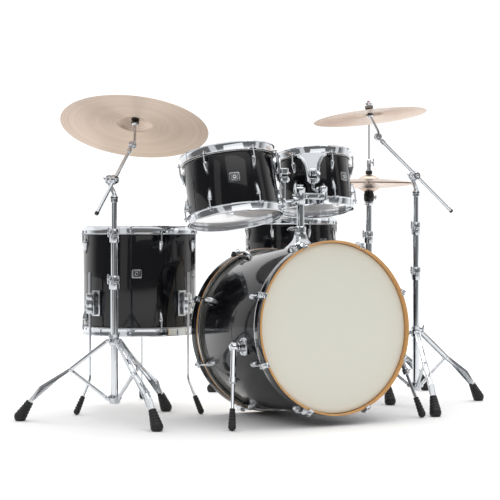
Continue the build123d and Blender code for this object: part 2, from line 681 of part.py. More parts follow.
class BoomStand:
    """A straight-boom cymbal stand: sizes, places and pieces."""

    def __init__(self, name, at, legs, bolt, clamps, boom_low, boom_clamp, tilter, cymbal, up, radius):
        self.name = name
        self.at = at
        self.legs = legs
        self.bolt = bolt
        self.clamps = clamps
        self.low = Vector(boom_low)
        self.clamp = Vector(boom_clamp)
        self.tilter = Vector(tilter)
        self.cymbal = Vector(cymbal)
        self.up = Vector(up).normalized()
        self.radius = radius
        flat = Vector(self.tilter.X - self.low.X, self.tilter.Y - self.low.Y, 0)
        self.side = flat.cross(Vector(0, 0, 1)).normalized()
        if self.side.Y > 0:
            self.side = -self.side
        self.boom = (self.tilter - self.low).normalized()

    def tubes(self):
        """Lower tube, middle tube, hub and two height clamps."""
        first, second = self.clamps
        with BuildPart() as lower:
            upright(*self.at, HUB_Z - 13, first - 24, LOWER_R, LOWER_R - TUBE_WALL)
        with BuildPart() as middle:
            upright(*self.at, 280, second - 24, MIDDLE_R, MIDDLE_R - TUBE_WALL)
        pieces = [lower.part, middle.part, tripod_hub(self.at, self.legs)]
        pieces += height_clamp(self.at, first, LOWER_R, MIDDLE_R, self.bolt)
        pieces += height_clamp(self.at, second, MIDDLE_R, TOP_R, self.bolt)
        return pieces

    def save_tripod(self):
        """Writes the collar, the struts and the legs."""
        save(self.name + "_collar", *tripod_collar(self.at, self.legs))
        for index, angle in enumerate(self.legs, 1):
            save(self.name + "_strut_" + str(index), tripod_strut(self.at, angle))
            save(self.name + "_leg_" + str(index), *tripod_leg(self.at, angle))

    def save_boom(self):
        """Writes the top tube, the boom arm, the tilter and the cymbal."""
        x, y = self.at
        z = self.clamp.Z
        back = self.clamp - self.side * 18
        with BuildPart() as top:
            upright(x, y, 430, z - 60, TOP_R, TOP_R - TUBE_WALL)
            upright(x, y, z - 84, z - 48, 13)
            upright(x, y, z - 90, z - 60, TOP_R - TUBE_WALL, mode=Mode.SUBTRACT)
            rod((x, y, z - 56), back + Vector(0, 0, -34), 8.5)
            rod(back + Vector(0, 0, -36), back + Vector(0, 0, -6), 8.5)
            rod(self.clamp - self.side * 28, self.clamp - self.side * 8.3, 17)
        nut = wing_bolt(self.clamp - self.side * 28, -self.side, 8)
        save(self.name + "_top_tube", top.part, nut)
        with BuildPart() as arm:
            rod(self.clamp - self.side * 8, self.clamp + self.side * 12, 17)
            rod(self.low, self.tilter - self.boom * 22, 6.3)
            rod(self.low - self.boom * 3, self.low + self.boom * 12, 7.5)
            rod(self.tilter - self.boom * 34, self.tilter - self.boom * 20, 9)
            neck = -self.side * 5.6
            rod(self.tilter - self.boom * 22 + neck, self.tilter - self.boom * 2 + neck, 5)
            rod(self.tilter - self.side * 9, self.tilter - self.side * GAP, 13)
        save(self.name + "_boom_arm", arm.part)
        self.save_tilter()

    def save_tilter(self):
        """The tilter half, the seat and the stud, then the cymbal on its sleeve."""
        seat = self.cymbal - self.up * 26
        with BuildPart() as metal:
            rod(self.tilter, self.tilter + self.side * 9, 13)
            root = self.tilter + self.side * 6
            lift = (self.up - self.side * self.up.dot(self.side)).normalized() * 18
            rod(root, root + lift, 5.0)
            rod(root + lift * 0.8, seat, 5.0)
            rod(seat, seat + self.up * 4, 11)
            rod(seat, self.cymbal + self.up * 30, STUD_R)
        with BuildPart() as sleeve:
            rod(seat + self.up * 4.1, seat + self.up * 21, 14, STUD_R + RUN)
        with BuildPart() as top_felt:
            rod(self.cymbal + self.up * 2, self.cymbal + self.up * 13, 15, STUD_R + RUN)
        with BuildPart() as wing:
            rod(self.cymbal + self.up * 13.3, self.cymbal + self.up * 26, 8, STUD_R + RUN)
        save(self.name + "_tilter", metal.part, sleeve.part, top_felt.part, wing.part)
        save(self.name + "_cymbal", cymbal_disc(self.cymbal, self.up, self.radius, self.radius * 0.045))


def cymbal_disc(at, up, radius, bow, bell=0.24, thick=1.5, hole=6.0):
    """A cymbal: a bell and a bowed disc of even thickness, with its centre hole."""
    plane = Plane(origin=at, z_dir=up)
    side = Plane(origin=at, x_dir=plane.x_dir, z_dir=-plane.y_dir)
    bell_r = radius * bell
    bell_h = bell_r * 0.42
    with BuildPart() as disc:
        with BuildSketch(side):
            with BuildLine():
                Line((hole, thick), (hole, 0))
                Spline((hole, 0), (bell_r * 0.62, -bell_h * 0.42), (bell_r, -bell_h))
                Spline((bell_r, -bell_h), (radius * 0.62, -bell_h - bow * 0.35), (radius, -bell_h - bow))
                Line((radius, -bell_h - bow), (radius, -bell_h - bow + thick * 0.7))
                Spline(
                    (radius, -bell_h - bow + thick * 0.7),
                    (radius * 0.62, -bell_h - bow * 0.35 + thick),
                    (bell_r, -bell_h + thick * 1.4),
                )
                Spline((bell_r, -bell_h + thick * 1.4), (bell_r * 0.62, -bell_h * 0.42 + thick), (hole, thick))
            make_face()
        revolve(axis=Axis(at, up))
    return disc.part


ride = BoomStand(
    "ride", RIDE_STAND_AT, (151.0, -89.0, 31.0), 200.0, (490.0, 648.0),
    (-667.0, -131.0, 697.0), (-588.0, -99.0, 812.0), (-505.0, -65.0, 933.0),
    (-480.1, -37.0, 1028.5), (0.2395, 0.2705, 0.932), 254.0,
)
crash = BoomStand(
    "crash", CRASH_STAND_AT, (-112.7, 7.4, 127.3), 200.0, (508.0, 672.0),
    (707.0, -238.0, 712.0), (552.0, -233.0, 840.0), (390.0, -226.0, 978.0),
    (358.3, -217.7, 1076.4), (-0.059, 0.113, 0.992), 203.2,
)
save("boom_stand_tubes", *ride.tubes(), *crash.tubes())
for stand in (ride, crash):
    stand.save_tripod()
    stand.save_boom()

# ---- hi-hat ------------------------------------------------------------------
HIHAT_LEGS = (11.0, 131.0, -109.0)
HIHAT_R = 178.0
SNARE_LEGS = (18.0, 138.0, -102.0)
SEAT_LOW, SEAT_HIGH = 751.0, 786.0
LOWER_HIHAT_TOP = 620.0
ROD_HIHAT_R = 3.2
PEDAL_LONG = 250.0
HEEL_Z = 14.0
TOE_Z = 29.0
PEDAL_WIDE = 84.0
HEEL_R = 6.0
BOARD_THICK = 6.0


def fixed_tripod(centre, angles, tube_top, clamp_bolt):
    """A stand's base in one piece with its open legs, and its rubber feet."""
    with BuildPart() as steel:
        upright(*centre, HUB_Z - 13, tube_top - 24, LOWER_R, LOWER_R - TUBE_WALL)
    pieces = [steel.part]
    with BuildPart() as collar:
        upright(*centre, COLLAR_Z - 16, COLLAR_Z + 22, 18, LOWER_R + 0.05)
    with BuildPart() as hub:
        upright(*centre, HUB_Z - 13, HUB_Z + 13, 19, LOWER_R + 0.05)
    pieces += [collar.part, hub.part]
    for angle in angles:
        plane = radial(centre, angle)
        with BuildPart() as strut:
            flat_bar(plane, ((PIVOT_R, HUB_Z), (JOINT_R, JOINT_Z)), 12, 8)
            cross_pin(plane, SHIN[1], PIN_R + RUN, 10, Mode.SUBTRACT)
        with BuildPart() as tongue:
            flat_bar(plane, ((19.5, COLLAR_Z), (PIVOT_R, COLLAR_Z)), 14, 12)
        pieces += [strut.part, *tripod_leg(centre, angle)]
    pieces += height_clamp(centre, tube_top, LOWER_R, MIDDLE_R, clamp_bolt)
    return pieces


def pedal_frame(heel, centre):
    """The heel plate with its pin, and the wires that tie it to the stand's hub."""
    x, y, z = heel
    front = centre[1] - 14.7
    with BuildPart() as frame:
        bar(Plane((x, y + 12, 0)), 108, 30, 6)
        for side in (-1, 1):
            bar(Plane((x + side * 49, y + 2, 0)), 7, 18, z + 9)
            rod((x + side * 30, y, 3), (x + side * 30, front - 3, 3), 3)
            rod((x + side * 33, front, 3), (x + side * 3, front, 3), 3)
            rod((x + side * 6, front, 0.5), (x + side * 6, front, HUB_Z - 13.2), 3)
        rod((x - 50, y, z), (x + 50, y, z), PIN_R)
    return frame.part


hihat_base = fixed_tripod(HIHAT_AT, HIHAT_LEGS, LOWER_HIHAT_TOP + 18, 190.0)
hihat_base.append(pedal_frame((HIHAT_AT[0], HIHAT_AT[1] + PEDAL_LONG, HEEL_Z), HIHAT_AT))
snare_base = fixed_tripod(SNARE_AT[:2], SNARE_LEGS, 400.0, 90.0)
save("snare_and_hihat_bases", *hihat_base, *snare_base)

with BuildPart() as hihat_tube:
    upright(*HIHAT_AT, 420, SEAT_LOW, MIDDLE_R, MIDDLE_R - 2)
with BuildPart() as hihat_seat:
    upright(*HIHAT_AT, SEAT_LOW - 14, SEAT_LOW - 1, 19, MIDDLE_R + 0.05)
    upright(*HIHAT_AT, SEAT_LOW, SEAT_HIGH, 20, ROD_HIHAT_R + 1)
save("hihat_upper_tube", hihat_tube.part, hihat_seat.part)
bow = 14.0
bell_drop = HIHAT_R * 0.24 * 0.42
HIHAT_EDGE = 822.0
top_at = (*HIHAT_AT, HIHAT_EDGE + 2 + bell_drop + bow)
save("hihat_top_cymbal", cymbal_disc(top_at, (0, 0, 1), HIHAT_R, bow, hole=5.0))
bottom_at = (*HIHAT_AT, HIHAT_EDGE - 2 - bell_drop - bow)
save("hihat_bottom_cymbal", cymbal_disc(bottom_at, (0, 0, -1), HIHAT_R, bow, hole=5.0))
with BuildPart() as pull_rod:
    upright(*HIHAT_AT, TOE_Z + 6, 1060, ROD_HIHAT_R)
with BuildPart() as lower_felt:
    upright(*HIHAT_AT, top_at[2] - 12, top_at[2] - 1.0, 8, ROD_HIHAT_R)
with BuildPart() as upper_felt:
    upright(*HIHAT_AT, top_at[2] + 2, top_at[2] + 16, 13, ROD_HIHAT_R)
with BuildPart() as clutch:
    upright(*HIHAT_AT, top_at[2] + 16, top_at[2] + 60, 9, ROD_HIHAT_R)
clutch_bolt = wing_bolt((HIHAT_AT[0] + 9, HIHAT_AT[1], 905), (1, 0, 0), 8)
save("hihat_pull_rod", pull_rod.part, lower_felt.part, upper_felt.part, clutch.part, clutch_bolt)

heel_y = HIHAT_AT[1] + PEDAL_LONG
pedal_side = Plane(origin=(HIHAT_AT[0] - PEDAL_WIDE / 2, 0, 0), x_dir=(0, 1, 0), z_dir=(1, 0, 0))
with BuildPart() as hihat_pedal:
    with BuildSketch(pedal_side) as side_view:
        with BuildLine():
            Polyline(
                (heel_y, HEEL_Z - BOARD_THICK / 2),
                (heel_y, HEEL_Z + BOARD_THICK / 2),
                (HIHAT_AT[1] - 8, TOE_Z + BOARD_THICK / 2),
                (HIHAT_AT[1] - 8, TOE_Z - BOARD_THICK / 2),
                close=True,
            )
        make_face()
        with Locations((heel_y, HEEL_Z)):
            Circle(HEEL_R)
            Circle(PIN_R + RUN, mode=Mode.SUBTRACT)
    extrude(side_view.sketch, amount=PEDAL_WIDE)
save("hihat_pedal", hihat_pedal.part)
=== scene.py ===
"""The looks of an acoustic drum kit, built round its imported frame.

Lengths are in millimetres unless a name ends in _m. Every surface is a grid of
points worked out with numpy: a profile turned round an axis, a section carried
along a path, or an outline given a thickness.
"""

from __future__ import annotations

import json
import logging
import math
from dataclasses import dataclass, field
from enum import Enum

import bmesh
import bpy
import numpy as np
from mathutils import Euler, Matrix, Vector

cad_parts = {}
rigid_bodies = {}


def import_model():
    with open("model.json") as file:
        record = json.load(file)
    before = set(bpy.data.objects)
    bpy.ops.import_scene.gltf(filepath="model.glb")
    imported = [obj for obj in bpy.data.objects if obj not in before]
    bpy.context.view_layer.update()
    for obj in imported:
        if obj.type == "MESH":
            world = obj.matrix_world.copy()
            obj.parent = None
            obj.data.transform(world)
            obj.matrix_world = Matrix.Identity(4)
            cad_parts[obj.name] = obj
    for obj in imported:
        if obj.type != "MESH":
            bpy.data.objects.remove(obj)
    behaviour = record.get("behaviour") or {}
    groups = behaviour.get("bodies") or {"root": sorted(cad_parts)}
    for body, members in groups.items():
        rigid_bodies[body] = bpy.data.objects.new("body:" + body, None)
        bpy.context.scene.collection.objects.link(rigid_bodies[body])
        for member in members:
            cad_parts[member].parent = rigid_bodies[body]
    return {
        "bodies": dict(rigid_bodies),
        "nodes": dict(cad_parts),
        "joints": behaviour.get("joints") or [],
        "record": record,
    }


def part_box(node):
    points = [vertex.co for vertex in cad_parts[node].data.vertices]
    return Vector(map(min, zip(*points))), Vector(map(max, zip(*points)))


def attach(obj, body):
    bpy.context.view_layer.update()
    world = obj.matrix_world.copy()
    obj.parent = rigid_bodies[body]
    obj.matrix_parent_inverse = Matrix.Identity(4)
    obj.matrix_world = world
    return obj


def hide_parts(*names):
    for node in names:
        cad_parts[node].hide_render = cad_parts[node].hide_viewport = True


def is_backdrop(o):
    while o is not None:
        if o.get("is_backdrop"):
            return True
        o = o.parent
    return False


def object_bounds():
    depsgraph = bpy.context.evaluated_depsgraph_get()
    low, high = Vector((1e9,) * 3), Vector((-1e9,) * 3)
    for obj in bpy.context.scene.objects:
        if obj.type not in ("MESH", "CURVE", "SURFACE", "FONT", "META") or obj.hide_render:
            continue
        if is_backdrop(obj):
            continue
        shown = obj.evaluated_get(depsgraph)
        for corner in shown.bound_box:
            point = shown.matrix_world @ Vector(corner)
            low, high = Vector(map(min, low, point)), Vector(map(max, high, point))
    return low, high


LOG = logging.getLogger("drum_kit")
MM = 0.001
INCH = 25.4
UP = np.array((0.0, 0.0, 1.0))
SHARP_DEGREES = 38.0  # an edge that turns more than this is drawn sharp

BASS_AXIS = np.array((-22.55, 4.08, 0.0))  # the bass drum's axis on the floor
POST = np.array((-22.55, -332.92, 0.0))  # the tom post's axis

# The floor tom's legs: their directions, and how far out the rods and the feet stand.
LEG_ANGLES = (-162.0, -70.0, 63.5)
LEG_OUT = 238.0
FOOT_OUT = 300.0

# A tripod seen from the side, as distance out from its tube and height.
HUB_Z, PIVOT_R = 75.0, 24.0
STRUT, SPREAD = 158.0, math.radians(52)
JOINT = (PIVOT_R + STRUT * math.sin(SPREAD), HUB_Z + STRUT * math.cos(SPREAD))
COLLAR_Z = HUB_Z + 2 * STRUT * math.cos(SPREAD)
SHIN = [(PIVOT_R, COLLAR_Z), JOINT, (248.0, 111.0), (285.0, 64.0)]
SOLE = (318.0, 14.0)

# The stands' tubes: the lowest one's foot, and the radii from the lowest to the highest.
TUBE_FOOT = 62.0
LOW_R, MIDDLE_R, HIGH_R = 12.7, 11.1, 9.5

# A cymbal's bell: its radius as a share of the cymbal's, and its rise as a share of that.
BELL_SHARE, BELL_RISE = 0.24, 0.42

# The view, in metres from the bass drum's axis, and the direction that it looks in.
CAMERA_AT = (-2.761, -4.962, 0.65)
CAMERA_TURN = (89.2, 0.0, -29.0)
LENS = 113.4
AWAY = (0.4848, 0.8746, 0.0)


# ---------------------------------------------------------------- places
def unit(vector: np.ndarray) -> np.ndarray:
    """The vector divided by its own length."""
    vector = np.asarray(vector, float)
    return vector / np.linalg.norm(vector)


def level(degrees: float) -> np.ndarray:
    """The level direction at an angle from X."""
    return np.array((math.cos(math.radians(degrees)), math.sin(math.radians(degrees)), 0.0))


@dataclass(frozen=True)
class Place:
    """A local frame: an origin and three square unit axes, in kit coordinates."""

    origin: np.ndarray
    x: np.ndarray
    y: np.ndarray
    z: np.ndarray

    @staticmethod
    def upright(origin: np.ndarray) -> "Place":
        return Place.at(origin, UP)

    @staticmethod
    def at(origin: np.ndarray, up: np.ndarray, side: np.ndarray | None = None) -> "Place":
        """A frame from its origin, its Z and, if it matters, a hint for its X.

        Args:
            origin: the frame's origin.
            up: the direction of Z.
            side: a direction whose part square to Z becomes X.

        Returns:
            The frame.
        """
        z = unit(up)
        if side is None:
            side = (1, 0, 0) if abs(z[0]) < 0.9 else (0, 1, 0)
        side = np.asarray(side, float)
        x = unit(side - z * np.dot(side, z))
        return Place(np.asarray(origin, float), x, np.cross(z, x), z)

    def point(self, points: np.ndarray) -> np.ndarray:
        """Local points, any shape ending in 3, in kit coordinates."""
        p = np.asarray(points, float)
        return self.origin + p[..., :1] * self.x + p[..., 1:2] * self.y + p[..., 2:3] * self.z

    def raised(self, height: float) -> "Place":
        """The same frame moved along its own Z."""
        return Place(self.origin + self.z * height, self.x, self.y, self.z)

    def turned(self, degrees: float) -> "Place":
        """The same frame turned round its own Z."""
        c, s = math.cos(math.radians(degrees)), math.sin(math.radians(degrees))
        return Place(self.origin, self.x * c + self.y * s, self.y * c - self.x * s, self.z)

    def shifted(self, x: float, y: float, z: float) -> "Place":
        """The same frame with its origin at a local point."""
        return Place(self.point((x, y, z)), self.x, self.y, self.z)


@dataclass(frozen=True)
class Joint:
    """A joint's point and axis, as the frame has them."""

    at: np.ndarray
    axis: np.ndarray


class Kit:
    """The loaded frame: joints by name and node boxes."""

    def __init__(self) -> None:
        """Loads the frame and reads its joints."""
        self.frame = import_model()
        self.box_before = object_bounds()
        self.joints = {
            j["name"]: Joint(
                np.array(j.get("pos_m", (0, 0, 0)), float) / MM, np.array(j["axis"], float)
            )
            for j in self.frame["joints"]
        }

    def middle(self, node: str) -> np.ndarray:
        """The centre of a node's box."""
        low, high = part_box(node)
        return np.array((low + high) / 2) / MM

    def low(self, node: str) -> np.ndarray:
        """The lowest corner of a node's box."""
        return np.array(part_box(node)[0]) / MM

    def high(self, node: str) -> np.ndarray:
        """The highest corner of a node's box."""
        return np.array(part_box(node)[1]) / MM


# ---------------------------------------------------------------- outlines
def arc(radius: float, start: float, end: float, steps: int) -> np.ndarray:
    """Points on a circle round the origin, from one angle to another in degrees."""
    a = np.radians(np.linspace(start, end, steps))
    return np.stack((radius * np.cos(a), radius * np.sin(a)), -1)


def rounded_box(width: float, depth: float, radius: float, steps: int = 5) -> np.ndarray:
    """A rectangle with quarter-circle corners, as one anticlockwise loop."""
    radius = min(radius, width / 2 - 1e-3, depth / 2 - 1e-3)
    corners = []
    for k, (sx, sy) in enumerate(((1, 1), (-1, 1), (-1, -1), (1, -1))):
        middle = np.array((sx * (width / 2 - radius), sy * (depth / 2 - radius)))
        corners.append(middle + arc(radius, 90 * k, 90 * k + 90, steps))
    return np.concatenate(corners)


def circle(radius: float, steps: int = 32) -> np.ndarray:
    """A circle as one loop."""
    return arc(radius, 0, 360, steps + 1)[:-1]


def lobed(radius: float, swell: float, lobes: int, power: float = 3.0, steps: int = 48) -> np.ndarray:
    """A circle swollen into lobes: radius + swell * ((1 + cos(lobes * angle)) / 2) ** power."""
    a = np.linspace(0, 2 * math.pi, steps, endpoint=False)
    r = radius + swell * ((1 + np.cos(lobes * a)) / 2) ** power
    return np.stack((r * np.cos(a), r * np.sin(a)), -1)


def strip(points: list[tuple[float, float]], width: float, steps: int = 7) -> np.ndarray:
    """The outline of a band of even width along a bent line, with round ends.

    Each corner is mitred: the offset point lies along the sum of the two normals,
    at half the width over the cosine of half the turn.

    Args:
        points: the band's middle line.
        width: the band's width.
        steps: points on each round end.

    Returns:
        One closed loop.
    """
    line = np.array(points, float)
    along = np.diff(line, axis=0)
    along /= np.linalg.norm(along, axis=1)[:, None]
    normal = np.stack((-along[:, 1], along[:, 0]), -1)
    joined = np.concatenate((normal[:1], normal[:-1] + normal[1:], normal[-1:]))
    joined /= np.linalg.norm(joined, axis=1)[:, None]
    pairs = np.concatenate((normal[:1], normal))
    joined /= np.sum(joined * pairs, axis=1)[:, None]
    half = width / 2
    start = math.degrees(math.atan2(normal[0][1], normal[0][0]))
    end = math.degrees(math.atan2(normal[-1][1], normal[-1][0]))
    return np.concatenate(
        (
            line[0] + arc(half, start, start + 180, steps),
            (line - joined * half)[1:-1],
            line[-1] + arc(half, end - 180, end, steps),
            (line + joined * half)[1:-1][::-1],
        )
    )


def bent_path(points: list[np.ndarray], radius: float, steps: int = 7) -> np.ndarray:
    """A route whose corners are rounded, each by a quadratic curve between its runs.

    Args:
        points: the corners of the route.
        radius: how far from each corner its curve starts.
        steps: points on each curve.

    Returns:
        The route's points, as rows.
    """
    route = [np.asarray(points[0], float)]
    t = np.linspace(0, 1, steps)[:, None]
    for before, corner, after in zip(points, points[1:], points[2:]):
        corner = np.asarray(corner, float)
        a = corner + unit(np.asarray(before) - corner) * radius
        b = corner + unit(np.asarray(after) - corner) * radius
        route.extend((1 - t) ** 2 * a + 2 * t * (1 - t) * corner + t**2 * b)
    route.append(np.asarray(points[-1], float))
    return np.array(route)


# ---------------------------------------------------------------- surfaces
class Shape:
    """A piece's surface, gathered from grids and then written as one mesh."""

    def __init__(self) -> None:
        """Starts with no points."""
        self.points: list[np.ndarray] = []
        self.quads: list[np.ndarray] = []
        self.marks: list[np.ndarray] = []
        self.count = 0

    def grid(self, points: np.ndarray, wrap_rows: bool = False, mark: int = 0) -> "Shape":
        """Adds a grid of points as quads, joined round its columns.

        Args:
            points: rows by columns by 3.
            wrap_rows: whether the last row joins the first.
            mark: the index of the finish on these faces.

        Returns:
            This shape.
        """
        rows, columns = points.shape[:2]
        index = self.count + np.arange(rows * columns).reshape(rows, columns)
        if wrap_rows:
            index = np.concatenate((index, index[:1]))
        a, b = index[:-1], index[1:]
        quads = np.stack((a, np.roll(a, -1, 1), np.roll(b, -1, 1), b), -1).reshape(-1, 4)
        self.points.append(points.reshape(-1, 3))
        self.quads.append(quads)
        self.marks.append(np.full(len(quads), mark))
        self.count += rows * columns
        return self

    def half_rings(self, place: Place, half: np.ndarray, high: np.ndarray, tall: float) -> "Shape":
        """Half-ring sections spaced evenly down a frame's Z and skinned.

        At angle p round a section, X = high * sin(p) ** 0.75 and Y = half * cos(p).

        Args:
            place: the frame, with X away from the wall that the sections stand on.
            half: each section's half width.
            high: each section's height.
            tall: the distance from the first section down to the last.

        Returns:
            This shape.
        """
        p = np.linspace(0, math.pi, 15)
        out = high[:, None] * np.sin(p)[None] ** 0.75
        side = half[:, None] * np.cos(p)[None]
        down = np.repeat(-np.linspace(0, 1, len(half))[:, None] * tall, len(p), 1)
        return self.loft(place.point(np.stack((out, side, down), -1)))

    def band(self, place: Place, profile: list[tuple[float, float]], steps: int, mark: int) -> "Shape":
        """A strip of (radius, height) rows turned round a frame's Z, open at both edges."""
        rows = np.array(profile)
        flat = rows[:, None, :1] * circle(1.0, steps)[None]
        local = np.concatenate((flat, np.repeat(rows[:, None, 1:], steps, 1)), -1)
        return self.grid(place.point(local), mark=mark)

    def loft(self, sections: np.ndarray, mark: int = 0) -> "Shape":
        """A skin over a row of closed sections, its ends drawn in to their middles."""
        first = np.repeat(sections[:1].mean(1, keepdims=True), sections.shape[1], 1)
        last = np.repeat(sections[-1:].mean(1, keepdims=True), sections.shape[1], 1)
        return self.grid(np.concatenate((first, sections, last)), mark=mark)

    def lathe(
        self,
        place: Place,
        profile: list[tuple[float, float]],
        steps: int = 48,
        closed: bool = False,
        ripple: np.ndarray | None = None,
    ) -> "Shape":
        """A profile turned round a frame's Z.

        The point for row i and angle a is origin + r * cos(a) * X + r * sin(a) * Y
        + h * Z, with r = profile radius + ripple and h = profile height.

        Args:
            place: the frame.
            profile: (radius, height) points.
            steps: points round the axis.
            closed: whether the profile is a loop, as for a ring, or ends on the axis.
            ripple: added to the radius, rows by steps.

        Returns:
            This shape.
        """
        rows = np.array(profile, float)
        if not closed:
            low, high = (0, rows[0, 1]), (0, rows[-1, 1])
            rows = np.concatenate(([low], rows, [high]))
        a = np.linspace(0, 2 * math.pi, steps, endpoint=False)
        r = np.repeat(rows[:, :1], steps, 1)
        if ripple is not None:
            r = r + ripple
        h = np.repeat(rows[:, 1:2], steps, 1)
        local = np.stack((r * np.cos(a), r * np.sin(a), h), -1)
        return self.grid(place.point(local), wrap_rows=closed)

    def tube(self, path: np.ndarray, radius: float | np.ndarray, sides: int = 18) -> "Shape":
        """A round bar along a path.

        Each station's ring is radius * (cos(a) * U + sin(a) * V), where U is carried
        from the station before and made square to the path.

        Args:
            path: the stations, as rows.
            radius: one radius, or one for each station.
            sides: points round the bar.

        Returns:
            This shape.
        """
        path = np.asarray(path, float)
        tangent = np.gradient(path, axis=0)
        tangent /= np.linalg.norm(tangent, axis=1)[:, None]
        u = Place.at(path[0], tangent[0]).x
        across = []
        for t in tangent:
            u = unit(u - t * np.dot(u, t))
            across.append(u)
        across = np.array(across)
        over = np.cross(tangent, across)
        a = np.linspace(0, 2 * math.pi, sides, endpoint=False)
        r = np.broadcast_to(np.asarray(radius, float), (len(path),))[:, None, None]
        ring = across[:, None] * np.cos(a)[None, :, None] + over[:, None] * np.sin(a)[None, :, None]
        return self.loft(path[:, None] + r * ring)

    def bar(
        self, start: np.ndarray, end: np.ndarray, radius: float, chamfer: float = 0.6, sides: int = 24
    ) -> "Shape":
        """A straight round bar with chamfered ends."""
        start, end = np.asarray(start, float), np.asarray(end, float)
        length = float(np.linalg.norm(end - start))
        profile = [
            (radius - chamfer, 0),
            (radius, chamfer),
            (radius, length - chamfer),
            (radius - chamfer, length),
        ]
        return self.lathe(Place.at(start, end - start), profile, sides)

    def slab(self, place: Place, outline: np.ndarray, height: float, bevel: float = 0.8) -> "Shape":
        """An outline given a height, with rounded edges top and bottom.

        Each row is the outline drawn in by bevel * (1 - cos) while it rises by
        bevel * (1 - sin), a quarter circle at each edge.

        Args:
            place: the frame whose XY plane holds the outline, at height 0.
            outline: a closed loop of (x, y).
            height: the slab's thickness along Z.
            bevel: the edges' radius.

        Returns:
            This shape.
        """
        bevel = min(bevel, abs(height) / 2.01)
        before, after = np.roll(outline, 1, 0), np.roll(outline, -1, 0)
        along = after - before
        inward = np.stack((-along[:, 1], along[:, 0]), -1)
        inward /= np.linalg.norm(inward, axis=1)[:, None] + 1e-9
        turn = np.radians((90, 60, 30, 0))
        draw = bevel * (1 - np.cos(turn))
        rise = bevel * (1 - np.sin(turn))
        inset = np.concatenate((draw, draw[::-1]))
        level = np.concatenate((rise, height - rise[::-1]))
        flat = outline[None] + inward[None] * inset[:, None, None]
        lifted = np.repeat(level[:, None, None], len(outline), 1)
        return self.loft(place.point(np.concatenate((flat, lifted), -1)))

    def ball(self, middle: np.ndarray, radius: float, steps: int = 20) -> "Shape":
        """A sphere, as a half circle turned round its axis."""
        half = arc(radius, -90, 90, steps // 2 + 1)[1:-1]
        place = Place.upright(middle)
        ends = [(0.0, -radius), *map(tuple, half), (0.0, radius)]
        return self.lathe(place, ends, steps)

    def build(self, name: str) -> bpy.types.Object:
        """Writes the mesh: doubles merged, faces outwards, edges sharp past an angle."""
        mesh = bpy.data.meshes.new(name)
        points = np.concatenate(self.points) * MM
        quads = np.concatenate(self.quads)
        mesh.vertices.add(len(points))
        mesh.vertices.foreach_set("co", points.ravel())
        mesh.loops.add(quads.size)
        mesh.loops.foreach_set("vertex_index", quads.ravel())
        mesh.polygons.add(len(quads))
        mesh.polygons.foreach_set("loop_start", np.arange(0, quads.size, 4))
        mesh.polygons.foreach_set("material_index", np.concatenate(self.marks))
        mesh.update(calc_edges=True)
        work = bmesh.new()
        work.from_mesh(mesh)
        bmesh.ops.remove_doubles(work, verts=work.verts, dist=2e-6)
        bmesh.ops.recalc_face_normals(work, faces=work.faces)
        work.to_mesh(mesh)
        work.free()
        mesh.polygons.foreach_set("use_smooth", np.ones(len(mesh.polygons), bool))
        mesh.set_sharp_from_angle(angle=math.radians(SHARP_DEGREES))
        piece = bpy.data.objects.new(name, mesh)
        bpy.context.scene.collection.objects.link(piece)
        return piece


# ---------------------------------------------------------------- finishes
def linear(hex_colour: str) -> tuple[float, float, float, float]:
    """An sRGB hex colour as linear red, green, blue and alpha."""
    parts = [int(hex_colour[i : i + 2], 16) / 255 for i in (1, 3, 5)]
    r, g, b = (c / 12.92 if c <= 0.04045 else ((c + 0.055) / 1.055) ** 2.4 for c in parts)
    return (r, g, b, 1.0)


def add_node(
    tree: bpy.types.NodeTree, kind: str, settings: dict | None = None, **links: object
) -> bpy.types.Node:
    """Adds a node with its settings, its input values and its incoming links.

    Args:
        tree: the material's node tree.
        kind: the node's type name.
        settings: attributes of the node itself.
        links: input name, with _ for a space or a number for its index after "i",
            to a socket to link from or a value to set.

    Returns:
        The new node.
    """
    node = tree.nodes.new(kind)
    for key, value in (settings or {}).items():
        setattr(node, key, value)
    for key, value in links.items():
        number = key[1:].isdigit() and key[0] == "i"
        socket = node.inputs[int(key[1:])] if number else node.inputs[key.replace("_", " ")]
        if isinstance(value, bpy.types.NodeSocket):
            tree.links.new(value, socket)
        else:
            socket.default_value = value
    return node


def ramp(
    tree: bpy.types.NodeTree, source: bpy.types.NodeSocket, low: str, high: str, start: float = 0.0,
    end: float = 1.0
) -> bpy.types.NodeSocket:
    """A colour ramp between two sRGB colours, and its colour socket."""
    node = add_node(tree, "ShaderNodeValToRGB", Fac=source)
    first, last = node.color_ramp.elements
    first.position, last.position = start, end
    first.color, last.color = linear(low), linear(high)
    return node.outputs["Color"]


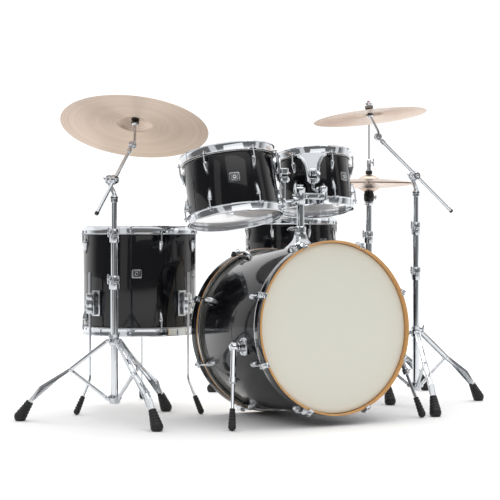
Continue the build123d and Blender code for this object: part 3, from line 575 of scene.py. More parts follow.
@dataclass(frozen=True)
class Finish:
    """One surface finish: its look values, and how its pattern is drawn."""

    name: str
    colour: str
    metallic: float = 0.0
    roughness: float = 0.4
    coat: float = 0.0
    transmission: float = 0.0
    gloss: float = 0.5  # the base's specular level
    grit: float = 0.0  # size of the fine unevenness, in millimetres; 0 for none
    grit_depth: float = 0.02  # its height, in millimetres

    def material(self) -> bpy.types.Material:
        """The material, made once and then reused by name."""
        found = bpy.data.materials.get(self.name)
        if found:
            return found
        made = bpy.data.materials.new(self.name)
        made.use_nodes = True
        tree = made.node_tree
        shader = tree.nodes["Principled BSDF"]
        shader.inputs["Base Color"].default_value = linear(self.colour)
        shader.inputs["Metallic"].default_value = self.metallic
        shader.inputs["Roughness"].default_value = self.roughness
        shader.inputs["Coat Weight"].default_value = self.coat
        shader.inputs["Coat Roughness"].default_value = 0.04
        shader.inputs["Specular IOR Level"].default_value = self.gloss
        shader.inputs["Transmission Weight"].default_value = self.transmission
        where = add_node(tree, "ShaderNodeTexCoord").outputs["Object"]
        self.pattern(tree, shader, where)
        return made

    def pattern(
        self, tree: bpy.types.NodeTree, shader: bpy.types.Node, where: bpy.types.NodeSocket
    ) -> None:
        """Fine unevenness: noise of the grit's size bumps the surface and varies its gloss."""
        size = self.grit or 3.0
        noise = add_node(tree, "ShaderNodeTexNoise", Vector=where, Scale=1000 / size, Detail=4.0)
        low, high = self.roughness * 0.8, min(1.0, self.roughness * 1.25)
        spread = add_node(
            tree, "ShaderNodeMapRange", Value=noise.outputs["Fac"], To_Min=low, To_Max=high
        )
        tree.links.new(spread.outputs["Result"], shader.inputs["Roughness"])
        if self.grit:
            bump = add_node(
                tree,
                "ShaderNodeBump",
                Height=noise.outputs["Fac"],
                Distance=self.grit_depth * MM,
                Strength=1.0,
            )
            tree.links.new(bump.outputs["Normal"], shader.inputs["Normal"])


@dataclass(frozen=True)
class Grained(Finish):
    """Wood: long fibres as noise drawn out along one axis, between two colours."""

    dark: str = "#000000"
    fibre: float = 2.5  # across the grain, in millimetres
    length: float = 90.0  # along it
    axis: int = 2

    def pattern(
        self, tree: bpy.types.NodeTree, shader: bpy.types.Node, where: bpy.types.NodeSocket
    ) -> None:
        """Noise whose scale is 1 / fibre across the grain and 1 / length along it."""
        scale = [1000 / self.fibre] * 3
        scale[self.axis] = 1000 / self.length
        mapped = add_node(tree, "ShaderNodeMapping", Vector=where, Scale=scale)
        noise = add_node(
            tree, "ShaderNodeTexNoise", Vector=mapped.outputs["Vector"], Scale=1.0, Detail=6.0,
            Roughness=0.6
        )
        colour = ramp(tree, noise.outputs["Fac"], self.dark, self.colour, 0.3, 0.72)
        tree.links.new(colour, shader.inputs["Base Color"])
        bump = add_node(
            tree, "ShaderNodeBump", Height=noise.outputs["Fac"], Distance=0.01 * MM, Strength=0.35
        )
        tree.links.new(bump.outputs["Normal"], shader.inputs["Normal"])


@dataclass(frozen=True)
class Lathed(Finish):
    """Cast bronze turned on a lathe: fine rings round the cymbal's own axis."""

    middle: tuple[float, float, float] = (0.0, 0.0, 0.0)
    axis: tuple[float, float, float] = (0.0, 0.0, 1.0)
    groove: float = 3.4  # drawn coarser than the real 0.8 mm so that it shows

    def pattern(
        self, tree: bpy.types.NodeTree, shader: bpy.types.Node, where: bpy.types.NodeSocket
    ) -> None:
        """Noise of the distance from the axis makes rings, and cells make hammer marks."""
        turn = Vector(self.axis).rotation_difference(Vector((0, 0, 1))).to_matrix().to_4x4()
        shift = turn @ Matrix.Translation(-Vector(self.middle) * MM)
        mapped = add_node(
            tree,
            "ShaderNodeMapping",
            Vector=where,
            Location=shift.to_translation(),
            Rotation=shift.to_euler(),
        )
        flat = add_node(
            tree, "ShaderNodeVectorMath", {"operation": "MULTIPLY"}, i0=mapped.outputs["Vector"],
            i1=(1, 1, 0)
        )
        out = add_node(tree, "ShaderNodeVectorMath", {"operation": "LENGTH"}, i0=flat.outputs["Vector"])
        far = out.outputs["Value"]
        rings = add_node(
            tree, "ShaderNodeTexNoise", {"noise_dimensions": "1D"}, W=far, Scale=1000 / self.groove,
            Detail=3.0, Roughness=0.7
        )
        bands = add_node(
            tree, "ShaderNodeTexNoise", {"noise_dimensions": "1D"}, W=far, Scale=1000 / 28, Detail=2.0
        )
        cells = add_node(
            tree, "ShaderNodeTexVoronoi", {"feature": "SMOOTH_F1"}, Vector=mapped.outputs["Vector"],
            Scale=1000 / 24
        )
        mixed = add_node(
            tree, "ShaderNodeMath", {"operation": "MULTIPLY_ADD"}, i0=bands.outputs["Fac"], i1=0.3,
            i2=rings.outputs["Fac"]
        )
        colour = ramp(tree, mixed.outputs["Value"], "#b39c88", self.colour, 0.3, 0.9)
        tree.links.new(colour, shader.inputs["Base Color"])
        rough = add_node(
            tree, "ShaderNodeMapRange", Value=rings.outputs["Fac"], To_Min=self.roughness - 0.08,
            To_Max=self.roughness + 0.1
        )
        tree.links.new(rough.outputs["Result"], shader.inputs["Roughness"])
        high = add_node(
            tree, "ShaderNodeMath", {"operation": "MULTIPLY_ADD"}, i0=cells.outputs["Distance"], i1=1.2,
            i2=rings.outputs["Fac"]
        )
        bump = add_node(
            tree, "ShaderNodeBump", Height=high.outputs["Value"], Distance=0.05 * MM, Strength=0.8
        )
        tree.links.new(bump.outputs["Normal"], shader.inputs["Normal"])
        arm = add_node(
            tree, "ShaderNodeVectorMath", {"operation": "SUBTRACT"}, i0=where,
            i1=tuple(Vector(self.middle) * MM)
        )
        round_axis = add_node(
            tree, "ShaderNodeVectorMath", {"operation": "CROSS_PRODUCT"}, i0=arm.outputs["Vector"],
            i1=self.axis
        )
        along = add_node(
            tree, "ShaderNodeVectorMath", {"operation": "NORMALIZE"}, i0=round_axis.outputs["Vector"]
        )
        tree.links.new(along.outputs["Vector"], shader.inputs["Tangent"])
        shader.inputs["Anisotropic"].default_value = 0.75


# Black nitro lacquer over birch ply: deep gloss with the grain just showing.
LACQUER = Grained(
    "black_lacquer", "#14151b", roughness=0.2, coat=0.7, dark="#060607", fibre=2.2, length=160.0, gloss=0.1
)
LACQUER_ALONG = Grained(
    "black_lacquer_lengthways", "#14151b", roughness=0.2, coat=0.7, dark="#060607", fibre=2.2, length=160.0,
    axis=1, gloss=0.1
)
# Clear-coated maple hoop: warm and satin, fibres running round it.
MAPLE = Grained(
    "clear_maple", "#dba868", roughness=0.3, coat=0.6, dark="#c48c4e", fibre=4.0, length=60.0, axis=0
)
# Bare birch inside the shells: pale and dull.
BIRCH = Grained("bare_birch", "#cdb08a", roughness=0.6, dark="#b3926a", fibre=2.5, length=80.0)
# Hard chrome over nickel: a near mirror with a little polishing haze.
CHROME = Finish("hard_chrome", "#d9dce0", metallic=1.0, roughness=0.07)
# Zinc die casting under chrome: softer than tube chrome.
CAST_CHROME = Finish("cast_chrome", "#cfd2d6", metallic=1.0, roughness=0.14, grit=4.0, grit_depth=0.03)
# Smooth cream polyester film on the front head.
CREAM_FILM = Finish("cream_film", "#e6e5d8", roughness=0.36, coat=0.15, grit=60.0, grit_depth=0.05)
# Sprayed white coating on the batter heads.
COATED_FILM = Finish("coated_film", "#dad9d4", roughness=0.62, grit=0.7, grit_depth=0.02)
# Thin clear polyester on the lower heads: cloudy and glossy.
CLEAR_FILM = Finish("clear_film", "#fbf8f8", roughness=0.22, transmission=0.1, coat=1.0)
RUBBER = Finish("moulded_rubber", "#131313", roughness=0.55, grit=0.9, grit_depth=0.04)
NYLON = Finish("black_nylon", "#0d0d0e", roughness=0.34, grit=0.5, grit_depth=0.01)
RED_NYLON = Finish("red_nylon", "#c22630", roughness=0.35)
# Pressed wool felt: no gloss at all, fuzzy at a millimetre.
FELT = Finish("wool_felt", "#8c8a86", roughness=0.97, grit=1.1, grit_depth=0.35)
DARK_FELT = Finish("dark_felt", "#2a2a2b", roughness=0.97, grit=1.1, grit_depth=0.35)
STEEL_WIRE = Finish("steel_wire", "#c4c6c8", metallic=1.0, roughness=0.22)
ENAMEL = Finish("badge_enamel", "#0a0a0b", roughness=0.2, coat=0.6)


def piece(name: str, shape: Shape, body: str, slot: str, *finishes: Finish, node: str = "") -> None:
    """Writes a shape as one piece, dressed and riding on its body.

    Args:
        name: the piece's name.
        shape: its surface.
        body: the body it moves with.
        slot: the record's material slot; not used.
        finishes: one finish for each mark used in the shape.
        node: the CAD node that the piece stands for, if it does.
    """
    made = shape.build(name)
    for finish in finishes:
        made.data.materials.append(finish.material())
    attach(made, body)
    if node:
        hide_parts(node)
    LOG.info("%s rides on %s, %d faces", name, body, len(made.data.polygons))


# ---------------------------------------------------------------- drums
class Ends(Enum):
    """Which end of a drum a piece is on."""

    TOP = 1
    BOTTOM = -1


@dataclass
class Drum:
    """A drum with flanged steel hoops, from its shell's place and its sizes."""

    kit: Kit
    name: str
    body: str
    up: tuple[float, float, float]
    radius: float
    depth: float
    count: int
    turn: float
    place: Place = field(init=False)
    rod_out: float = 12.5
    lug_tall: float = 42.0
    lug_drop: float = 34.0

    def __post_init__(self) -> None:
        """Finds the drum's place from its shell in the frame."""
        self.place = Place.at(self.kit.middle(self.name + "_shell"), self.up, level(self.turn))

    def end(self, which: Ends) -> Place:
        """The bearing edge's frame, its Z pointing out of the drum."""
        up = self.place.raised(which.value * self.depth / 2)
        return up if which is Ends.TOP else Place.at(up.origin, -up.z, up.x)

    def shell(self) -> None:
        """The plied shell: lacquered outside, bare inside, with rounded bearing edges."""
        half, r, wall = self.depth / 2, self.radius - 0.2, 7.0
        outside = [(r - wall / 2, -half), (r - 1.2, -half + 0.3), (r, -half + 3), (r, half - 3)]
        outside += [(r - 1.2, half - 0.3), (r - wall / 2, half)]
        inside = [(r - wall / 2, half), (r - wall, half - 3), (r - wall, -half + 3), (r - wall / 2, -half)]
        shape = Shape().band(self.place, outside, 128, 0).band(self.place, inside, 128, 1)
        piece(
            self.name + "_plied_shell", shape, self.body, "lacquer", LACQUER, BIRCH,
            node=self.name + "_shell"
        )

    def hoops(self) -> None:
        """Two flanged hoops, their lower flange drawn out into an ear at each rod."""
        shape = Shape()
        r = self.radius
        profile = [
            (r + 3.6, -13.8), (r + 8.6, -13.8), (r + 9.8, -13.1), (r + 9.8, -12.2), (r + 8.6, -11.6),
            (r + 7.2, -11.3), (r + 6.2, -10.2), (r + 5.9, -8), (r + 5.9, 9), (r + 6.4, 11.4),
            (r + 8.2, 12.4), (r + 9.6, 12.9), (r + 10.3, 14.2), (r + 9.6, 15.6), (r + 8.2, 16),
            (r + 4.8, 15.8), (r + 3.8, 14.6), (r + 3.5, 12), (r + 3.5, -5), (r + 1.7, -5), (r + 1.7, -7.8),
            (r + 3.5, -7.8),
        ]
        steps = 40 * self.count
        a = np.linspace(0, 2 * math.pi, steps, endpoint=False)
        away = (a * self.count / (2 * math.pi) + 0.5) % 1 - 0.5
        arc_away = away * 2 * math.pi / self.count * r
        ear = 9.6 * np.exp(-((arc_away / 10.5) ** 6))
        share = np.array([(0, 1)[k in (1, 2, 3, 4)] for k in range(len(profile))])
        for which in Ends:
            shape.lathe(self.end(which), profile, steps, True, share[:, None] * ear[None])
        piece(self.name + "_flanged_hoops", shape, self.body, "chrome", CHROME, node=self.name + "_hoops")

    def heads(self, batter: Finish, lower: Finish) -> None:
        """Both films, each with its collar and its flesh hoop."""
        r = self.radius
        profile = [
            (r * 0.5, 0.9), (r * 0.93, 0.9), (r - 2, 0.6), (r + 0.5, -0.6), (r + 1.1, -2.5), (r + 1.1, -8),
            (r + 3, -8.1), (r + 3, -14.8), (r + 0.5, -14.8), (r + 0.45, -2.5), (r - 0.5, -0.2),
            (r - 3, 0.2), (r * 0.5, 0.2),
        ]
        finishes = {Ends.TOP: batter, Ends.BOTTOM: lower}
        for which, finish in finishes.items():
            shape = Shape().lathe(self.end(which), profile, 96)
            label, node = ("batter", self.name + "_heads") if which is Ends.TOP else ("resonant", "")
            piece(f"{self.name}_{label}_head", shape, self.body, "head_film", finish, node=node)

    def lug(self, shape: Shape, place: Place, wide: float = 17.0, stand: float = 17.3) -> None:
        """A teardrop lug that narrows and sinks towards its tail.

        At t from the rod's end, half-width = wide / 2 * (1 - 0.62 * t ** 1.5) and
        height = stand * (1 - 0.72 * t ** 1.4), both rounded off by
        (1 - |2 t - 1| ** 7) ** 0.5.

        Args:
            shape: the castings that it joins.
            place: the rod's end of its foot, with X out of the drum.
            wide: its width.
            stand: how far it stands out.
        """
        t = np.linspace(0.0, 1.0, 17)
        end = np.sqrt(np.clip(1 - np.abs(2 * t - 1) ** 7, 0.02, 1))
        half = wide / 2 * (1 - 0.62 * t**1.5) * end
        high = stand * (1 - 0.72 * t**1.4) * end
        shape.half_rings(place, half, high, self.lug_tall)

    def lugs(self) -> None:
        """Every lug with its base gasket, tail screw, and tension rod with washer and head."""
        cast, rods, gaskets = Shape(), Shape(), Shape()
        for which in Ends:
            for k in range(self.count):
                spoke = self.end(which).turned(360 * k / self.count)
                foot = spoke.shifted(self.radius - 0.5, 0, -self.lug_drop)
                self.lug(cast, foot)
                tail = foot.shifted(0, 0, -self.lug_tall * 0.86)
                across = Place.at(tail.origin, tail.x, tail.z)
                cast.lathe(across, [(3.6, 0), (3.6, 7.4), (2.8, 8.6)], 14)
                gaskets.slab(
                    Place.at(foot.origin, foot.x, foot.y),
                    strip([(0, 3), (0, self.lug_tall - 1)], 13.5, 5) * (1, -1),
                    1.4,
                    0.5,
                )
                self.rod(rods, spoke)
        piece(self.name + "_lug_castings", cast, self.body, "chrome", CAST_CHROME, node=self.name + "_lugs")
        piece(self.name + "_tension_rods", rods, self.body, "chrome", CHROME)
        piece(self.name + "_lug_gaskets", gaskets, self.body, "rubber", RUBBER)

    def rod(self, shape: Shape, spoke: Place) -> None:
        """A tension rod: shaft, washer, and a square head with a domed collar."""
        at = spoke.shifted(self.radius + self.rod_out, 0, 0)
        shape.lathe(at, [(2.7, -self.lug_drop - 12), (2.7, -14)], 12)
        shape.lathe(at, [(5.6, -11.4), (6, -11), (6, -10.1), (4.8, -9.6), (4.4, -8.2), (3.4, -7.8)], 20)
        shape.slab(at.raised(-7.9), rounded_box(6, 6, 0.8, 3), 6.6, 0.8)

    def badge(self, degrees: float, high: float) -> None:
        """A plain plate with a raised rim and a vent grommet, bent to the shell.

        Args:
            high: how far above the shell's middle it sits.
        """
        spot = self.place.turned(degrees - self.turn)
        wide, tall = 34.0, 29.0
        plate, vent = Shape(), Shape()
        for grow, lift, mark in ((1.0, 0.9, 0), (0.88, 1.2, 1), (0.66, 1.5, 0), (0.6, 1.7, 1)):
            edge = rounded_box(wide * grow, tall * grow, 5 * grow, 6)
            ring = []
            for scale, out in ((1.0, 0.0), (1.0, lift * 0.7), (0.96, lift)):
                angle = edge[:, 0] * scale / self.radius
                r = self.radius - 0.2 + out
                ring.append(np.stack((r * np.cos(angle), r * np.sin(angle), high + edge[:, 1] * scale), -1))
            plate.loft(spot.point(np.array(ring)), mark)
        face = Place.at(spot.point((self.radius, 0, high)), spot.x, spot.y)
        vent.lathe(face, [(6.2, 0), (6.2, 2.2), (5.2, 3.2), (4.0, 3.2), (3.4, 2.4), (3.2, 1.0)], 28)
        piece(self.name + "_badge", plate, self.body, "chrome", STEEL_WIRE, ENAMEL)
        piece(self.name + "_vent_grommet", vent, self.body, "chrome", CHROME)

    def dress(self, batter: Finish, lower: Finish) -> None:
        """Builds every piece that all drums share."""
        self.shell()
        self.hoops()
        self.heads(batter, lower)
        self.lugs()


def wing_screw(
    shape: Shape, start: np.ndarray, outward: np.ndarray, reach: float = 12.0, span: float = 17.0,
    turn: float = 20.0
) -> None:
    """A clamp screw: shaft, collar, and a head swollen into two lobes."""
    place = Place.at(start, outward).turned(turn)
    shape.lathe(place, [(3.2, 0), (3.2, reach)], 14)
    shape.lathe(place, [(5.2, reach - 4), (6, reach - 3), (6, reach), (5, reach + 1)], 18)
    outline = lobed(5.0, span - 5.0, 2, 6.0, 56)
    shape.slab(place.raised(reach), outline * (1, 0.75), 5.0, 1.6)


@dataclass
class RackTom(Drum):
    """A tom held by a cast plate under its top hoop."""

    def bracket(self) -> None:
        """The hung plate with its ribs, the grip on the L-rod, and the grip's screws."""
        joint = self.kit.joints[self.name + "_swivel"]
        low, high = joint.at[2] + 2, joint.at[2] + 52
        local = joint.at + (0, 0, 26) - self.place.origin
        flat = unit(local - self.place.z * np.dot(local, self.place.z))
        reach = float(np.dot(local, flat))
        face = Place.at(self.place.origin + flat * (self.radius + 15.5), flat, np.cross(self.place.z, flat))
        top = self.depth / 2 - 15
        plate = Shape()
        outline = np.array(
            [(-50, top), (-50, top - 8), (-36, top - 17), (-27, top - 32), (-21, 8), (-20, -22), (-12, -30),
             (12, -30), (20, -22), (21, 8), (27, top - 32), (36, top - 17), (50, top - 8), (50, top)]
        )
        plate.slab(face, outline[::-1], 4.0, 1.2)
        for sign in (-1, 1):
            plate.slab(
                face.raised(2.5),
                strip(
                    [(sign * 44, top - 5), (sign * 29, top - 18), (sign * 20, top - 38), (sign * 14, 0)],
                    7.0
                ),
                3.4,
                1.4,
            )
            ear = face.shifted(sign * 40, top + 1, -3)
            plate.slab(Place.at(ear.origin, face.y, face.x), rounded_box(13, 20, 5), 3.0, 0.9)
        plate.lathe(
            Place.at(face.point((0, 2, 0)), flat), [(19, 3), (19, 8), (17, 9.5), (12, 9.5), (11, 8)], 40
        )
        piece(self.name + "_hung_bracket", plate, self.body, "chrome", CAST_CHROME)
        grip, screws, sleeve = Shape(), Shape(), Shape()
        post = np.array((joint.at[0], joint.at[1], 0.0))
        spine = Place.at(post + (0, 0, low), (0, 0, 1), flat)
        grip.slab(spine, lobed(13.0, 3.0, 2, 1.0, 40), 20, 2.2)
        grip.slab(spine.raised(27), lobed(13.0, 3.0, 2, 1.0, 40), high - low - 29, 2.2)
        back = self.radius + 19.5 - reach
        grip.slab(
            spine.shifted(back / 2, 0, 3), rounded_box(abs(back), 22, 3), high - low - 8, 2.0
        )
        sleeve.lathe(spine.raised(19.5), [(11.5, 0), (12.5, 1), (12.5, 7), (11.5, 8)], 28)
        wing_screw(screws, spine.point((6, 13.5, 36)), spine.y, 7, 15)
        screws.lathe(
            Place.at(spine.point((13, 0, 10)), spine.x), [(5.5, 0), (6.2, 1), (6.2, 5), (5, 6.5)], 6
        )
        piece(self.name + "_rod_grip", grip, self.body, "chrome", CAST_CHROME)
        piece(self.name + "_grip_sleeve", sleeve, self.body, "rubber", NYLON)
        piece(self.name + "_grip_screws", screws, self.body, "chrome", CHROME)

    def l_rod(self, tilt: str) -> None:
        """The bent rod between the platform's clamp and the grip, with its knurled collar."""
        clamp, swivel = self.kit.joints[tilt].at, self.kit.joints[self.name + "_swivel"].at
        corner = np.array((swivel[0], swivel[1], clamp[2]))
        out = unit(corner - clamp)
        top = self.kit.high(self.name + "_arm")[2]
        route = bent_path([clamp + out * 15.4, corner, np.array((corner[0], corner[1], top))], 9)
        shape = Shape().tube(route, 5.25, 20)
        start = Place.at(clamp + out * 15.4, out)
        shape.lathe(start, [(10, 0), (11.5, 1), (11.5, 7.5), (10, 8.5)], 30)
        piece(self.name + "_bent_rod", shape, self.name + "_arm", "chrome", CHROME, node=self.name + "_arm")


@dataclass
class FloorTom(Drum):
    """The floor tom with its three kneed legs."""

    def legs(self) -> None:
        """Each leg's rod and rubber foot, and the cast bracket that grips it."""
        brackets, screws = Shape(), Shape()
        for k in (1, 2, 3):
            node = f"floor_tom_leg_{k}"
            high = self.kit.high(node)
            middle = self.place.origin
            out = level(LEG_ANGLES[k - 1])
            post = middle * (1, 1, 0) + out * LEG_OUT
            foot = middle * (1, 1, 0) + out * FOOT_OUT + (0, 0, 11)
            knee = post + (0, 0, 120)
            ankle = knee + (foot - knee) * 0.62
            route = bent_path([post + (0, 0, high[2]), knee, ankle], 16)
            steel = Shape().tube(route, 4.75, 18)
            piece(f"floor_tom_leg_{k}_rod", steel, node, "chrome", CHROME, node=node)
            rubber_foot(f"floor_tom_leg_{k}_foot", node, knee + (foot - knee) * 0.54, foot, 11.0, 8.5)
            side = Place.at(post + (0, 0, 350), (0, 0, 1), out)
            back = self.radius - LEG_OUT
            body = np.array(
                [
                    (back, -14), (back + 6, -17), (2, -13), (10, -9), (13, 0), (10, 9), (2, 13),
                    (back + 6, 17), (back, 14)
                ]
            )
            brackets.slab(side, body, 24, 2.5)
            brackets.slab(side.raised(46), body, 24, 2.5)
            brackets.slab(side.raised(22), body * (1, 0.94), 26, 1.0)
            brackets.slab(side.shifted(back / 2, 0, -4), rounded_box(abs(back), 30, 6), 78, 3.0)
            brackets.slab(side.shifted(back + 5, 0, -10), rounded_box(9, 38, 3), 90, 3.0)
            wing_screw(screws, side.point((11, 0, 36)), out, 8, 16, 65)
        piece("floor_tom_leg_brackets", brackets, self.body, "chrome", CAST_CHROME)
        piece("floor_tom_leg_screws", screws, self.body, "chrome", CHROME)


def rubber_foot(name: str, body: str, start: np.ndarray, sole: np.ndarray, tip: float, neck: float) -> None:
    """A moulded foot: a ribbed cone along the leg that ends in a domed sole.

    The cone's radius runs from neck to tip, with ribs of height 0.9 mm added by a
    square-cornered sine every fifth of its length, and the dome is a half circle.
    """
    start, sole = np.asarray(start, float), np.asarray(sole, float)
    length = float(np.linalg.norm(sole - start))
    t = np.linspace(0, 1, 41)
    cone = neck + (tip - neck) * t**1.3
    ribs = 0.9 * np.clip(3 * np.sin(t * 2 * math.pi * 5.5), -1, 1) * (t > 0.12) * (t < 0.9)
    r = np.minimum(cone + ribs, tip)
    profile = [(neck * 0.8, 0.0), *zip(r, t * length)]
    dome = arc(tip, 0, 90, 8)[1:-1]
    profile += [(float(x), length + float(y)) for x, y in dome]
    shape = Shape().lathe(Place.at(start, sole - start), profile, 28)
    shape.points[0][:, 2] = np.maximum(shape.points[0][:, 2], 0)
    piece(name, shape, body, "rubber", RUBBER)


# ---------------------------------------------------------------- bass drum
@dataclass
class BassDrum:
    """The bass drum: wooden hoops held by claws, spurs, and the tom holder's base."""

    kit: Kit
    radius: float = 11 * INCH
    hoop_out: float = 289.0
    hoop_in: float = 282.0
    hoop_wide: float = 40.0
    depth: float = 490.0
    tilt: float = 3.86
    edge: float = 16.4
    rod_out: float = 17.5
    body: str = "kit"
    middle: Place = field(init=False)

    def __post_init__(self) -> None:
        """Finds the drum's place from its shell."""
        lean = math.radians(self.tilt)
        nose = (0, -math.cos(lean), math.sin(lean))
        self.middle = Place.at(self.kit.middle("bass_drum_shell"), nose, (1, 0, 0))

    def ends(self) -> list[Place]:
        """The frames of both hoops' outer edges, each looking outwards."""
        front = self.middle.raised(self.depth / 2)
        rear = self.middle.raised(-self.depth / 2)
        return [front, Place.at(rear.origin, -rear.z, rear.x)]

    def shell(self) -> None:
        """The plied shell: lacquered outside, bare inside, with rounded bearing edges."""
        half, r, wall = self.depth / 2 - self.edge, self.radius - 0.2, 7.0
        outside = [(r - wall / 2, -half), (r - 1, -half + 0.4), (r, -half + 3)]
        outside += [(r, half - 3), (r - 1, half - 0.4), (r - wall / 2, half)]
        inside = [(r - wall / 2, half), (r - wall, half - 4), (r - wall, -half + 4), (r - wall / 2, -half)]
        shape = Shape().band(self.middle, outside, 192, 0).band(self.middle, inside, 192, 1)
        piece(
            "bass_drum_plied_shell", shape, self.body, "lacquer", LACQUER_ALONG, BIRCH,
            node="bass_drum_shell"
        )

    def hoops(self) -> None:
        """Maple hoops: clear inside and on the edges, lacquered black round the outside."""
        lo, hi, w = self.hoop_in, self.hoop_out, self.hoop_wide
        for place, label in zip(self.ends(), ("front", "rear")):
            maple = [
                (hi - 0.1, -1.6), (hi - 0.6, -0.5), (hi - 1.6, 0), (lo + 1.4, 0), (lo + 0.4, -0.5),
                (lo, -1.6)
            ]
            maple += [(lo, -w + 1.6), (lo + 1.2, -w), (hi - 1.6, -w), (hi - 0.5, -w + 0.8)]
            black = [(hi - 0.5, -w + 0.8), (hi, -w + 1.8), (hi, -3.0), (hi - 0.1, -1.6)]
            shape = Shape().band(place, maple, 192, 0).band(place, black, 192, 1)
            node = "bass_drum_hoops" if label == "front" else ""
            piece(
                f"bass_drum_{label}_wood_hoop", shape, self.body, "maple_hoop", MAPLE, LACQUER_ALONG,
                node=node
            )

    def heads(self) -> None:
        """Both films with their collars and flesh hoops; the front one is cream."""
        r = self.radius
        profile = [
            (r * 0.5, 0.9), (r * 0.96, 0.85), (r - 3, 0.4), (r + 0.8, -1.2), (r + 1.6, -4), (r + 1.6, -24),
            (r + 2.2, -24.2), (r + 7, -24.4), (r + 7, -30.6), (r + 0.6, -30.6), (r + 0.6, -4),
            (r - 1, -0.4), (r * 0.5, 0.2),
        ]
        for place, label in zip(self.ends(), ("front", "batter")):
            film = Shape().lathe(place.raised(-self.edge), profile, 160)
            node = "bass_drum_heads" if label == "front" else ""
            piece(f"bass_drum_{label}_film", film, self.body, "head_film", CREAM_FILM, node=node)
            flesh = [
                (r + 6.8, -24.1), (r + 7.3, -24.5), (r + 7.3, -30.6), (r + 6.6, -31.2), (r + 2.2, -31.2),
                (r + 2.2, -30.9), (r + 6.4, -30.9), (r + 6.6, -24.4)
            ]
            band = Shape().lathe(place.raised(-self.edge), flesh, 160, True)
            piece(f"bass_drum_{label}_flesh_hoop", band, self.body, "chrome", STEEL_WIRE)

    def metal(self) -> None:
        """Eight claws, lugs and rods at each end."""
        claws, lugs, rods, pads = Shape(), Shape(), Shape(), Shape()
        for place in self.ends():
            for k in range(8):
                spoke = place.turned(22.5 + 45 * k)
                self.claw(claws, spoke)
                at = spoke.shifted(self.radius + self.rod_out, 0, 0)
                rods.lathe(at, [(2.8, -86), (2.8, -8)], 12)
                rods.lathe(at, [(5.8, -4), (6.2, -3.4), (6.2, -1.6), (4.6, -1)], 20)
                rods.slab(at.raised(-1), rounded_box(6, 6, 0.8, 3), 6.5, 0.8)
                foot = spoke.shifted(self.radius - 0.3, 0, -76)
                self.lug(lugs, foot)
                pads.slab(Place.at(foot.origin, foot.x, foot.y), strip([(0, 3), (0, 37)], 17, 6), 1.5, 0.5)
        piece("bass_drum_claws", claws, self.body, "chrome", CAST_CHROME, node="bass_drum_lugs")
        piece("bass_drum_lug_castings", lugs, self.body, "chrome", CAST_CHROME)
        piece("bass_drum_tension_rods", rods, self.body, "chrome", CHROME)
        piece("bass_drum_lug_gaskets", pads, self.body, "rubber", RUBBER)

    def claw(self, shape: Shape, spoke: Place) -> None:
        """A claw: a hooked strap over the hoop that swells into the rod's boss."""
        wide = 19.0
        hook = [(284, 0.4), (284, 2.6), (285.2, 3.6), (290.5, 3.6), (292.5, 2.4), (293.5, 0), (294, -5)]
        boss = [
            (297, -9), (301, -11.5), (302.6, -14), (302.6, -31), (301, -33.6), (289.4, -33.6), (289.4, 0.4)
        ]
        side = Place(spoke.origin + spoke.y * wide / 2, spoke.x, spoke.z, -spoke.y)
        shape.slab(side, np.array(hook + boss), wide, 2.2)

    def lug(self, shape: Shape, foot: Place) -> None:
        """A short oval lug, swollen at the rod's end and rounded off at both."""
        t = np.linspace(0, 1, 15)
        end = np.sqrt(np.clip(1 - np.abs(2 * t - 1) ** 5, 0.03, 1))
        shape.half_rings(foot, 10 * (1 - 0.35 * t**2) * end, 23 * (1 - 0.62 * t**1.6) * end, 40)

    def spurs(self) -> None:
        """Both folding spurs: pivot drum, tube, locking collar, rod and foot."""
        brackets = Shape()
        for name, side in (("spur_right", 1), ("spur_left", -1)):
            pivot = self.kit.joints[name + "_fold"].at
            low, high = self.kit.low(name), self.kit.high(name)
            foot_x = high[0] - 13 if side > 0 else low[0] + 13
            foot = np.array((foot_x, low[1] + 13, 13.0))
            joint = pivot + (foot - pivot) * 0.45
            ankle = pivot + (foot - pivot) * 0.84
            along = unit(joint - pivot)
            out = np.array((side, 0.0, 0.0))
            steel = Shape().bar(pivot + along * 4, joint, 9.5)
            steel.bar(joint - along * 4, ankle, 5.6)
            drum_face = Place.at(pivot - out * 11.4, out)
            steel.lathe(drum_face, [(14, 0), (15.8, 1.5), (15.8, 20), (14, 22.5), (9, 24.5)], 36)
            piece(name + "_leg", steel, name, "chrome", CHROME, node=name)
            collar = Shape()
            collar.lathe(
                Place.at(joint - along * 16, along),
                [(10.5, 0), (12.4, 1.5), (12.4, 18), (10.5, 20), (7, 21)], 30
            )
            wing_screw(collar, joint - along * 6 + np.cross(along, out) * 11, np.cross(along, out), 7, 13)
            piece(name + "_locking_collar", collar, name, "chrome", CAST_CHROME)
            rubber_foot(name + "_foot", name, pivot + (foot - pivot) * 0.78, foot, 13.0, 9.0)
            shell_x = self.middle.origin[0] + side * 272.5
            plate = Place.at((shell_x, pivot[1], pivot[2]), out, (0, 1, 0))
            brackets.slab(plate, rounded_box(44, 60, 12), 9, 2.5)
            brackets.lathe(plate, [(19, 5), (19, 12), (16.5, 20), (16.5, 29), (15, 30.8)], 36)
            for sy in (-1, 1):
                brackets.lathe(plate.shifted(0, sy * 23, 8.5), [(4, 0), (4, 1.5), (2.5, 2.5)], 12)
        piece("spur_bracket_castings", brackets, self.body, "chrome", CAST_CHROME)

